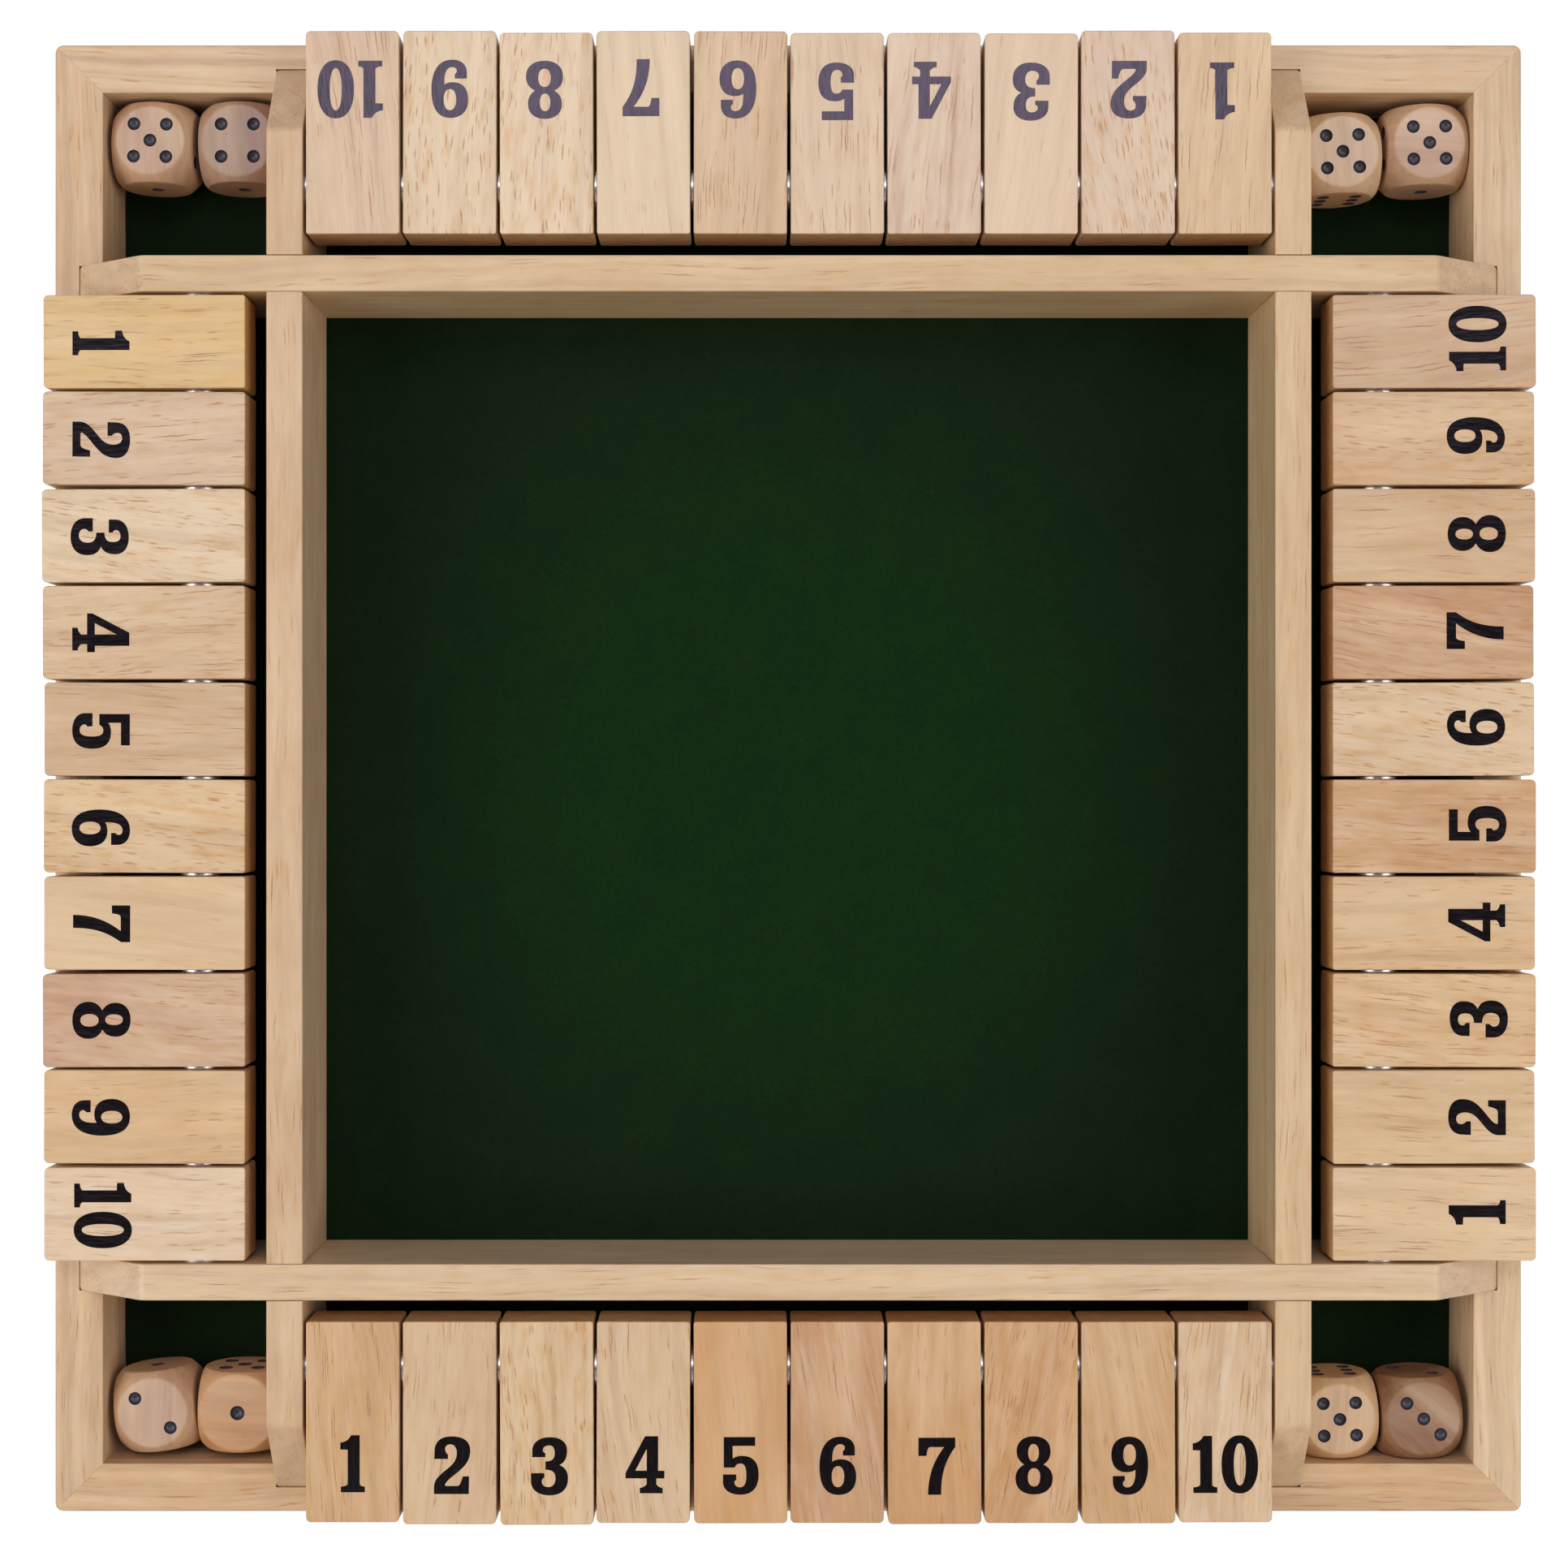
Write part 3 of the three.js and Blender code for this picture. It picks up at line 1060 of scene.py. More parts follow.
@dataclass(frozen=True)
class Numeral:
    """The printed numerals, a bold and narrow letter with slab feet.

    Attributes:
        height: The height of a flat-topped digit.
        gap_share: The space between the two digits of 10, as a share of the height.
        steps: How many straight steps stand for a curve.
        fullness: How full the corners of an oval are, where 2 is a plain ellipse.
    """

    height: float = 11.0
    gap_share: float = 0.075
    steps: int = 10
    fullness: float = 2.25

    # Each digit is a list of outlines in hundredths of its height, from its lower left corner. An outline
    # starts at a point. Two numbers are the end of a straight line, and six are the two handles and the
    # end of a curve. Four numbers alone are an oval: its middle, half width and half height.
    OUTLINE_SHARES = {
        "0": [[(32, 50, 32, 51)], [(32, 50, 10.5, 37)]],
        "1": [[(0, 75), (0, 87), (9, 88, 15, 92, 19, 100), (34, 100), (34, 14), (36, 11, 39, 10, 43, 10),
               (43, 0), (1, 0), (1, 10), (5, 10, 10, 11, 13, 14), (13, 74.5)]],
        "2": [[(0, 0), (61, 0), (61.5, 31), (50.5, 31), (47, 19, 46, 14.5, 40, 14), (22, 14),
               (19, 14, 18.5, 16, 20, 18), (25, 27, 38, 34, 48, 44), (58, 53, 63.5, 62, 63.5, 77),
               (63.5, 92, 52, 101, 31, 101), (12, 101, 1, 92, 1, 75), (0.5, 61.5), (24.5, 61.5), (24.5, 69),
               (21, 72, 19.5, 75, 19.5, 79), (19.5, 84, 23, 87, 29, 87), (36, 87, 40, 81, 40, 72),
               (40, 58, 32, 51, 22, 43), (7, 31, 0, 24, 0, 12)]],
        "3": [[(2.5, 66), (2.5, 77), (2.5, 92, 15, 101, 34, 101), (52, 101, 63.5, 92, 63.5, 78),
               (63.5, 65, 60, 57, 50, 52), (60, 48, 65, 41, 65, 28), (65, 9, 52, -1, 33, -1),
               (12, -1, 0, 9, 0, 24), (0, 38), (23.5, 38), (23.5, 31), (20, 28, 19, 26, 19, 23),
               (19, 17, 24, 13.5, 30, 13.5), (39, 13.5, 43, 20, 43, 29), (43, 39, 38, 44, 25.5, 44),
               (25.5, 58.5), (37, 58.5, 42, 63, 42, 73), (42, 82, 39, 86.5, 32, 86.5),
               (25, 86.5, 21, 83, 21, 79), (21, 76, 22, 74, 25.5, 73), (25.5, 66)]],
        "4": [[(34, 100), (0, 35.5), (0, 26), (37, 26), (37, 15.5), (33, 11.5, 29, 9.5, 25, 9.5), (25, 0),
               (65, 0), (65, 9.5), (61, 9.5, 57, 11.5, 54, 15.5), (54, 26), (68, 26), (68, 39.5),
               (57, 39.5), (57, 100)],
              [(37, 78), (37, 39.5), (17, 39.5)]],
        "5": [[(1.5, 100), (56.5, 100), (56.5, 84.5), (17, 84.5), (17, 62), (21, 65.5, 27, 67, 33, 67),
               (53, 67, 62.5, 56, 62.5, 34), (62.5, 11, 51, -1, 31, -1), (11, -1, 0, 8, 0, 21), (0, 34.5),
               (23, 34.5), (23.5, 25), (20, 24, 19.5, 21, 20, 19), (21, 14.5, 25, 12, 30, 12),
               (38, 12, 41, 20, 41, 33), (41, 47, 38, 53.5, 31, 53.5), (26, 53.5, 22.5, 51.5, 20.5, 46.5),
               (1.5, 46.5)]],
        "6": [[(41, 68), (62, 68), (62, 78), (62, 93, 52, 101, 36, 101), (12, 101, 0, 80, 0, 49),
               (0, 16, 11, -1, 33, -1), (54, -1, 64.5, 12, 64.5, 31), (64.5, 51, 54, 61.5, 38, 61.5),
               (31, 61.5, 26, 60, 22.5, 57), (21.5, 76, 26, 88, 36.5, 88), (41, 88, 44.5, 85.5, 44.5, 81.5),
               (44.5, 79, 43, 77, 41, 75.5)],
              [(32.5, 31, 11, 18.5)]],
        "7": [[(0, 100), (64.5, 100), (64.5, 84), (52, 66, 39, 45, 39.5, 0), (16.5, 0),
               (17, 35, 27, 60, 45, 83.5), (21, 83.5), (17, 83.5, 15.5, 80, 14, 68), (0, 68)]],
        "8": [[(49, 51.5), (58, 57, 61.5, 65, 61.5, 75), (61.5, 91, 50, 101, 32, 101),
               (14, 101, 2, 91, 2, 75), (2, 65, 6, 57, 15.5, 51.5), (5, 46, 0, 38, 0, 27),
               (0, 9, 13, -1, 32.5, -1), (52, -1, 65, 9, 65, 27), (65, 38, 60, 46, 49, 51.5)],
              [(31.6, 72, 9.3, 15.4)], [(32.5, 29, 11, 16)]],
    }

    # The upper right corner of the 6, which becomes the lower left one of the 9
    SIX_CORNER_SHARES = (64.5, 100)

    def curve(self, start: np.ndarray, shares: Sequence[float]) -> np.ndarray:
        """Points on a cubic curve.

        With t from 0 to 1 and u = 1 - t, a point is u^3 a + 3 u^2 t b + 3 u t^2 c + t^3 d, where a is the
        start, b and c are the handles and d is the end.

        Args:
            start: The point that the curve starts from.
            shares: The coordinates of the two handles and of the end.

        Returns:
            Its points, without the start.
        """
        t = np.linspace(0, 1, self.steps + 1)[1:, None]
        u = 1 - t
        first, second, end = np.array(shares, float).reshape(3, 2)
        return u**3 * start + 3 * u**2 * t * first + 3 * u * t**2 * second + t**3 * end

    def outline(self, shares: Sequence[tuple[float, ...]], hole: bool) -> np.ndarray:
        """One outline of a digit.

        Args:
            shares: The outline's steps, in hundredths of the digit's height.
            hole: Whether it bounds a hole, and so runs clockwise.

        Returns:
            Rows of two coordinates, in hundredths of the height.
        """
        if len(shares) == 1:
            x, y, across, up = shares[0]
            points = circle((x, y), across, up, 4 * self.steps, self.fullness)
        else:
            parts = [np.array([shares[0]], float)]
            for step in shares[1:]:
                if len(step) == 2:
                    parts.append(np.array([step], float))
                else:
                    parts.append(self.curve(parts[-1][-1], step))
            points = np.concatenate(parts)
            if np.allclose(points[0], points[-1]):
                points = points[:-1]
        after = np.roll(points, -1, axis=0)
        area = float((points[:, 0] * after[:, 1] - points[:, 1] * after[:, 0]).sum())
        return points[::-1] if (area < 0) != hole else points

    def digit(self, value: str) -> list[np.ndarray]:
        """A digit's outlines, from its lower left corner. A 9 is a 6 turned half round.

        Args:
            value: The digit.

        Returns:
            Its outlines in millimetres, of which the first is the outer one.
        """
        shares = self.OUTLINE_SHARES["6" if value == "9" else value]
        outlines = [self.outline(shape, hole=number > 0) for number, shape in enumerate(shares)]
        if value == "9":
            outlines = [np.array(self.SIX_CORNER_SHARES) - shape for shape in outlines]
        return [shape * self.height / 100 for shape in outlines]

    def surfaces(self, number: int, low: float, high: float) -> Surface:
        """The plates of a number, centred across and standing on y = 0.

        Args:
            number: The number.
            low: The height of the plates' underside.
            high: The height of their top.

        Returns:
            The surface.
        """
        plates = []
        start = 0.0
        for value in str(number):
            outlines = self.digit(value)
            plates.append(plate(outlines, low, high).moved((start, 0, 0)))
            start += float(outlines[0][:, 0].max()) + self.gap_share * self.height
        whole = joined(plates)
        middle = (whole.points[:, 0].min() + whole.points[:, 0].max()) / 2
        return whole.moved((-middle, 0, 0))


# The parts of the box


@dataclass
class TileRow:
    """A row of ten numbered tiles that flip about their rod.

    Attributes:
        side: The side of the box.
        tints: The colours of the tiles from 1 to 10.
        figures: What the wood of each tile shows most, from 1 to 10.
        corner: The radius of the upright edges at the outer end.
        inner_corner: The radius of the upright edges at the rail.
        edge: The radius of the other edges.
        trim: How much each long side is sanded back from the model's.
        bore_play: How much wider the hole is than the rod, on the radius.
        ink_rise: How far the ink stands above the wood.
        foot: From a tile's outer end to the foot of its number.
        askew: The most that a tile is turned about +Z, in degrees.
        longer: How much longer a tile may be at its outer end, at least and at most.
        aside: How far its number may stand to the right of the middle, at least and at most.
        lift: The most that its number stands further in or out.
        steps: How many straight steps stand for a corner, and half as many for an edge.
        bore_sides: How many straight sides stand for the hole's circle.
        slant: The most that the fibres run askew, in degrees.
    """

    side: Side
    tints: tuple[Tint, ...]
    figures: tuple[Figure, ...]
    corner: float = 0.95
    inner_corner: float = 0.55
    edge: float = 0.3
    trim: float = 0.05
    bore_play: float = 0.05
    ink_rise: float = 0.03
    foot: float = 5.7
    askew: float = 0.22
    longer: tuple[float, float] = (-0.3, 0.25)
    aside: tuple[float, float] = (-0.1, 0.55)
    lift: float = 0.2
    steps: int = 8
    bore_sides: int = 32
    slant: float = 9

    def blank(self, low: np.ndarray, high: np.ndarray) -> Surface:
        """A tile about its rod's axis.

        Args:
            low: The lowest corner, from the rod's axis.
            high: The highest corner, from the rod's axis.

        Returns:
            The tile, bored for its rod.
        """
        radii = np.array([self.corner, self.inner_corner])
        solid = soft_slab(low, high, self.edge, self.steps // 2, lambda shrink: radii - shrink, self.steps)
        radius = ROD_RADIUS + self.bore_play
        reach = 2 * high[0]
        bore = spun(np.array([[-reach, radius], [reach, radius]]), self.bore_sides)
        return carved(solid, [bore])

    def placed(self, points: np.ndarray, yaw: float, middle: np.ndarray) -> np.ndarray:
        """Puts points of a tile into the box.

        A small turn by the angle a takes (x, y) to (x - a y, y + a x).

        Args:
            points: The points, from the middle of the tile's hole.
            yaw: The tile's small turn about +Z, in radians.
            middle: The place of the hole's middle, on the front side.

        Returns:
            The points on the row's own side.
        """
        x, y, z = np.moveaxis(points, -1, 0)
        return self.side.turned(np.stack([x - yaw * y, y + yaw * x, z], axis=-1) + middle)

    def build(self, finishes: Finishes) -> list[bpy.types.Object]:
        """Builds the tiles and their numbers.

        Args:
            finishes: The materials.

        Returns:
            The pieces.
        """
        axis = np.array([0.0, *LAYOUT.rod_axis(self.side)])
        low, high = LAYOUT.box(f"{self.side.label}_tile_1", self.side)
        half = (high[0] - low[0]) / 2 - self.trim
        low, high = low - axis, high - axis
        low[0], high[0] = -half, half
        tile = self.blank(low, high - [0, 0, self.ink_rise])
        numeral = Numeral()
        along = tuple(self.side.turned(np.array([0.0, 1.0, 0.0])))
        made = []
        for number, (tint, figure) in enumerate(zip(self.tints, self.figures), start=1):
            seed = Pick.TILE + 2 * TILES_PER_ROW * self.side.number + number
            rng = np.random.default_rng((SEED, seed, 1))
            body = f"{self.side.label}_tile_{number}"
            node_low, node_high = LAYOUT.box(body, self.side)
            middle = axis + [(node_low[0] + node_high[0]) / 2, 0, 0]
            yaw = math.radians(rng.uniform(-self.askew, self.askew))
            longer = rng.uniform(*self.longer)
            aside, lift = rng.uniform(*self.aside), rng.uniform(-self.lift, self.lift)

            points = tile.points.copy()
            points[points[:, 1] < low[1] / 2, 1] -= longer
            board = Board(tint, seed, along, self.slant, figure)
            made.append(
                Piece(body, body, "tile_wood", (body,)).make(
                    tile.mapped(self.placed(points, yaw, middle)), [finishes.tile], board
                )
            )
            mark = numeral.surfaces(number, high[2] - 2 * self.ink_rise, high[2])
            mark = mark.moved((aside, low[1] - longer + self.foot + lift, 0))
            made.append(
                Piece(f"{self.side.label}_number_{number}", body).make(
                    mark.mapped(self.placed(mark.points, yaw, middle)), [finishes.ink], board
                )
            )
        return made


@dataclass
class Rail:
    """One of the four rails, which cross in half-lap joints and end in a slope.

    Attributes:
        side: The side of the box.
        tint: The colour of its wood.
        edge: The radius of the long edges.
        end_round: The radius of the upright edges at the ends. Their top edge is as soft as the long ones.
        slope_run: The length of a sloping end, seen from above.
        knee_blend: How far to each side the corner above the slope is rounded.
        lap_play: The free space on each side of a lap joint.
        hole_depth: How deep the rod's hole is.
        hole_radius: The hole's radius.
        hole_sides: How many straight sides stand for the hole's circle.
        over: How far a cutting tool reaches past the wood.
        steps: How many straight steps stand for an edge or the rounded corner above the slope.
    """

    side: Side
    tint: Tint
    edge: float = 0.3
    end_round: float = 0.8
    slope_run: float = 14.6
    knee_blend: float = 0.9
    lap_play: float = 0.1
    hole_depth: float = 5.0
    hole_radius: float = 1.53
    hole_sides: int = 24
    over: float = 1.0
    steps: int = 4

    def build(self, finishes: Finishes) -> bpy.types.Object:
        """Builds the rail.

        The top runs level, and near each end it falls in a straight line to the top of the outer frame.
        Round the corner between the two, its height is a short parabola.

        Args:
            finishes: The materials.

        Returns:
            The piece.
        """
        node = f"{self.side.label}_rail"
        low, high = LAYOUT.box(node, self.side)
        frame_top = LAYOUT.box("outer_frame")[1][2]
        reach, top = high[0], high[2]
        half, middle = (high[1] - low[1]) / 2, (high[1] + low[1]) / 2
        fall = (top - frame_top) / self.slope_run
        blend = self.knee_blend
        turn = arc(self.steps)
        ends = reach - self.end_round * (1 - turn[:, 0])
        knee = reach - self.slope_run + blend * np.linspace(-1, 1, self.steps + 1)
        across = np.concatenate([knee, ends])
        insets = np.concatenate([np.zeros(len(knee)), 1 - turn[:, 1]])
        past = across - (reach - self.slope_run)
        drop = np.where(past < blend, fall * (past + blend) ** 2 / (4 * blend), fall * past)
        outlines = []
        for place, inset, down in zip(across, insets, drop):
            thin, short = half - inset * self.end_round, inset * self.edge
            flat = soft_rectangle(
                [middle - thin, low[2] + short], [middle + thin, top - down - short], self.edge, self.steps
            )
            outlines.append(np.column_stack([np.full(len(flat), place), flat]))
        right = np.stack(outlines)
        left = right[::-1] * [-1, 1, 1]
        solid = loft(np.concatenate([left, right]))

        lap_half = half + self.lap_play
        lap_height = (low[2] + top) / 2
        lap_low, lap_high = (low[2] - self.over, lap_height) if self.side.through_on_top else (
            lap_height, top + self.over
        )
        rod_y, rod_z = LAYOUT.rod_axis(self.side)
        tools = []
        for end in (-1, 1):
            tools.append(
                block(
                    [end * -middle - lap_half, low[1] - self.over, lap_low],
                    [end * -middle + lap_half, high[1] + self.over, lap_high],
                )
            )
            bore = np.array([[-self.hole_depth, self.hole_radius], [self.over, self.hole_radius]])
            hole = spun(bore, self.hole_sides)
            x, y, z = np.moveaxis(hole.points, -1, 0)
            tools.append(hole.mapped(np.stack([y + end * rod_y, x, z], axis=-1) + [0, high[1], rod_z]))
        board = Board(self.tint, Pick.RAIL + self.side.number, self.side.along)
        # The rails that pass under at the lap joints take the copy of the wood whose sloping ends carry
        # painted shade.
        wood = finishes.rail if self.side.through_on_top else finishes.lapped_rail
        solid = carved(solid, tools)
        return Piece(node, "root", "rail_wood", (node,)).make(solid.on(self.side), [wood], board)


@dataclass
class RodAndWashers:
    """A side's steel rod, with a loose washer in each gap of the row.

    Attributes:
        side: The side of the box.
        radius: The rod's radius.
        chamfer: The bevel at its ends.
        washer_hole: The radius of a washer's hole.
        washer_radius: A washer's outer radius.
        washer_thick: A washer's thickness.
        washer_edge: The radius of a washer's edges.
        washer_slack: The most that a washer lies aside of the middle of its gap.
        sides: How many straight sides stand for a circle.
        edge_steps: How many straight steps stand for an edge of a washer.
    """

    side: Side
    radius: float = ROD_RADIUS
    chamfer: float = 0.3
    washer_hole: float = 1.6
    washer_radius: float = 3.9
    washer_thick: float = 0.6
    washer_edge: float = 0.04
    washer_slack: float = 0.03
    sides: int = 48
    edge_steps: int = 3

    def washer(self) -> Surface:
        """A washer about the X axis: a small rectangle with round corners, turned about the axis.

        Returns:
            The closed surface.
        """
        half = self.washer_thick / 2
        profile = soft_rectangle(
            [-half, self.washer_hole], [half, self.washer_radius], self.washer_edge, self.edge_steps
        )
        return spun(profile, self.sides, closed=True)

    def build(self, finishes: Finishes) -> list[bpy.types.Object]:
        """Builds the rod and the washers.

        Args:
            finishes: The materials.

        Returns:
            The two pieces.
        """
        node = f"{self.side.label}_rod"
        low, high = LAYOUT.box(node, self.side)
        place = np.array([0.0, *LAYOUT.rod_axis(self.side)])
        end, bevel = high[0], self.chamfer
        profile = np.array(
            [[-end, self.radius - bevel], [bevel - end, self.radius],
             [end - bevel, self.radius], [end, self.radius - bevel]]
        )
        rod = spun(profile, self.sides).moved(place)
        first, last = (
            LAYOUT.box(f"{self.side.label}_tile_{number}", self.side) for number in (1, TILES_PER_ROW)
        )
        pitch = (last[0][0] - first[0][0]) / (TILES_PER_ROW - 1)
        gap = pitch - (first[1][0] - first[0][0])
        starts = first[0][0] - gap / 2 + pitch * np.arange(TILES_PER_ROW + 1)
        rng = np.random.default_rng((SEED, Pick.WASHERS, self.side.number))
        drop = self.radius - self.washer_hole
        slack = self.washer_slack
        rings = [
            self.washer().moved(place + [start + rng.uniform(-slack, slack), 0, drop]) for start in starts
        ]
        pieces = []
        for name, surface in ((node, rod), (f"{self.side.label}_washers", joined(rings))):
            pieces.append(
                Piece(name, "root", "rod_steel", (node,)).make(
                    surface.on(self.side), [finishes.steel]
                )
            )
        return pieces


@dataclass
class FrameSide:
    """One of the four mitred sides of the outer frame.

    Attributes:
        side: The side of the box.
        tint: The colour of its wood.
        wall: The thickness of the wood.
        corner: The radius of the box's upright corners.
        outer_edge: The radius of the outer edges, top and bottom.
        inner_edge: The radius of the inner top edge.
        joint: The hairline left open at a mitre.
        play: The free space round the base board.
        groove_play: The free space round a rail's end.
        over: How far a cutting tool reaches past the wood.
        steps: How many straight steps stand for half a corner.
        edge_steps: How many straight steps stand for an edge.
        slant: The most that the fibres run askew, in degrees.
    """

    side: Side
    tint: Tint
    wall: float = 9.5
    corner: float = 1.6
    outer_edge: float = 0.7
    inner_edge: float = 0.3
    joint: float = 0.015
    play: float = 0.2
    groove_play: float = 0.08
    over: float = 1.0
    steps: int = 5
    edge_steps: int = 4
    slant: float = 1.2

    def profile(self, height: float, board_top: float, rebate: float) -> np.ndarray:
        """The cross-section: depth from the outer face, and height.

        Args:
            height: The height of the frame.
            board_top: The height of the rebate for the base board.
            rebate: The depth from the outer face to the rebate.

        Returns:
            Rows of depth and height, from the outer face's foot upwards and round.
        """
        turn = arc(self.edge_steps)
        outer = self.outer_edge
        foot = np.column_stack([outer - outer * turn[:, 0], outer - outer * turn[:, 1]])
        shoulder = np.column_stack([outer - outer * turn[:, 1], height - outer + outer * turn[:, 0]])
        inner = self.inner_edge
        brow = np.column_stack(
            [self.wall - inner + inner * turn[:, 0], height - inner + inner * turn[:, 1]]
        )
        seat = [[self.wall, board_top], [rebate, board_top], [rebate, 0.0]]
        return np.concatenate([foot, shoulder, brow, seat])

    def build(self, finishes: Finishes) -> bpy.types.Object:
        """Builds the side.

        The profile runs along X. Near an end, each of its points runs on to the mitre, where x equals the
        distance from the box's middle, and points within the corner's radius get there on an arc.

        Args:
            finishes: The materials.

        Returns:
            The piece.
        """
        reach, _, height = LAYOUT.box("outer_frame")[1]
        board_high = LAYOUT.box("base_board")[1]
        rebate = reach - board_high[0] - self.play
        depth, rise = self.profile(height, board_high[2], rebate).T
        start = reach - self.wall - 2 * self.over
        share = np.linspace(0, 1, self.steps + 1)[:, None]
        angle = share * math.pi / 4
        round_x = reach - self.corner + (self.corner - depth) * np.sin(angle)
        round_y = reach - self.corner + (self.corner - depth) * np.cos(angle)
        shares = (np.arange(1, self.steps + 2) / (self.steps + 1))[:, None]
        flat_x = start + (reach - depth - start) * shares
        flat_y = np.broadcast_to(reach - depth, flat_x.shape)
        near = depth < self.corner
        x = np.concatenate([np.full((1, len(depth)), start), np.where(near, round_x, flat_x)])
        y = np.concatenate([(reach - depth)[None], np.where(near, round_y, flat_y)])
        x[-1] -= self.joint
        right = np.stack([x, -y, np.broadcast_to(rise, x.shape)], axis=-1)
        solid = loft(np.concatenate([right[::-1] * [-1, 1, 1], right]))

        rail_low, rail_high = LAYOUT.box("front_rail")
        groove_half = (rail_high[1] - rail_low[1]) / 2 + self.groove_play
        groove_reach = rail_high[0] + self.groove_play
        rail_middle = -(rail_low[1] + rail_high[1]) / 2
        grooves = [
            block(
                [end * rail_middle - groove_half, -groove_reach, board_high[2] - self.over],
                [end * rail_middle + groove_half, self.wall - reach + self.over, height + self.over],
            )
            for end in (-1, 1)
        ]
        solid = carved(solid, grooves)
        board = Board(self.tint, Pick.WALL + self.side.number, self.side.along, self.slant)
        return Piece(f"frame_{self.side.label}_side", "root", "frame_wood", ("outer_frame",)).make(
            solid.on(self.side), [finishes.wall], board
        )


@dataclass
class Floor:
    """The base board and the felt on it.

    Attributes:
        board_edge: The radius of the board's edges.
        board_steps: How many straight steps stand for such an edge.
        board_slant: The most that the board's fibres run askew, in degrees.
        felt_edge: The radius of the felt's cut edge.
        cells: How many cells the felt has along each side.
        unevenness: How far the felt dips.
        waves: How many waves the dips are made of.
        wave_length: The shortest and the longest wave.
    """

    board_edge: float = 0.3
    board_steps: int = 3
    board_slant: float = 1
    felt_edge: float = 0.25
    cells: int = 150
    unevenness: float = 0.12
    waves: int = 14
    wave_length: tuple[float, float] = (14.0, 60.0)

    def build_board(self, finishes: Finishes) -> bpy.types.Object:
        """Builds the base board, a flat slab with soft edges.

        Args:
            finishes: The materials.

        Returns:
            The piece.
        """
        low, high = LAYOUT.box("base_board")
        edge, steps = self.board_edge, self.board_steps
        solid = soft_slab(low, high, edge, steps, lambda shrink: edge, steps)
        board = Board(Tint.PLY, Pick.BASE_BOARD, (1.0, 0.0, 0.0), self.board_slant)
        return Piece("base_board", "root", "board_wood", ("base_board",)).make(
            solid, [finishes.board], board
        )

    def build_felt(self, finishes: Finishes) -> bpy.types.Object:
        """Builds the felt, a square grid that dips a little between its edges.

        The dip at (x, y) is the sum of a few long waves, scaled to lie between 0 and the unevenness, and
        near the edge the surface falls along a quarter circle.

        Args:
            finishes: The materials.

        Returns:
            The piece.
        """
        low, high = LAYOUT.box("felt_lining")
        line = np.linspace(low[0], high[0], self.cells + 1)
        line[1], line[-2] = low[0] + self.felt_edge, high[0] - self.felt_edge
        x, y = np.meshgrid(line, line)
        rng = np.random.default_rng((SEED, Pick.FELT))
        waves = np.zeros_like(x)
        for _ in range(self.waves):
            length = rng.uniform(*self.wave_length)
            heading, phase = rng.uniform(0, 2 * math.pi), rng.uniform(0, 6)
            waves += np.sin((x * math.cos(heading) + y * math.sin(heading)) * 2 * math.pi / length + phase)
        dip = self.unevenness * (waves - waves.min()) / (waves.max() - waves.min())
        edge = np.maximum(np.abs(x), np.abs(y)) > high[0] - self.felt_edge / 2
        z = high[2] - dip - np.where(edge, self.felt_edge, 0)
        top = np.stack([x, y, z], axis=-1).reshape(-1, 3)
        count = self.cells + 1
        faces: list[Sequence[int]] = grid_faces(count, count, wrap=False).tolist()
        numbers = np.arange(count * count).reshape(count, count)
        rim = np.concatenate([numbers[0, :-1], numbers[:-1, -1], numbers[-1, :0:-1], numbers[:0:-1, 0]])
        under = top[rim] * [1, 1, 0] + [0, 0, low[2]]
        foot = len(top) + np.arange(len(rim))
        faces += np.stack([np.roll(rim, -1), rim, foot, np.roll(foot, -1)], axis=-1).tolist()
        faces.append(foot[::-1].tolist())
        felt = Piece("felt_lining", "root", "felt", ("felt_lining",)).make(
            Surface(np.concatenate([top, under]), faces), [finishes.felt]
        )
        return felt


# Spots of each value, as shares of the spread from the middle of a face
CORNER_SHARES = [(-1, 1), (1, 1), (-1, -1), (1, -1)]
SPOT_SHARES = {
    1: [(0, 0)],
    2: [(-1, 1), (1, -1)],
    3: [(-1, 1), (0, 0), (1, -1)],
    4: CORNER_SHARES,
    5: [*CORNER_SHARES, (0, 0)],
    6: [*CORNER_SHARES, (-1, 0), (1, 0)],
}


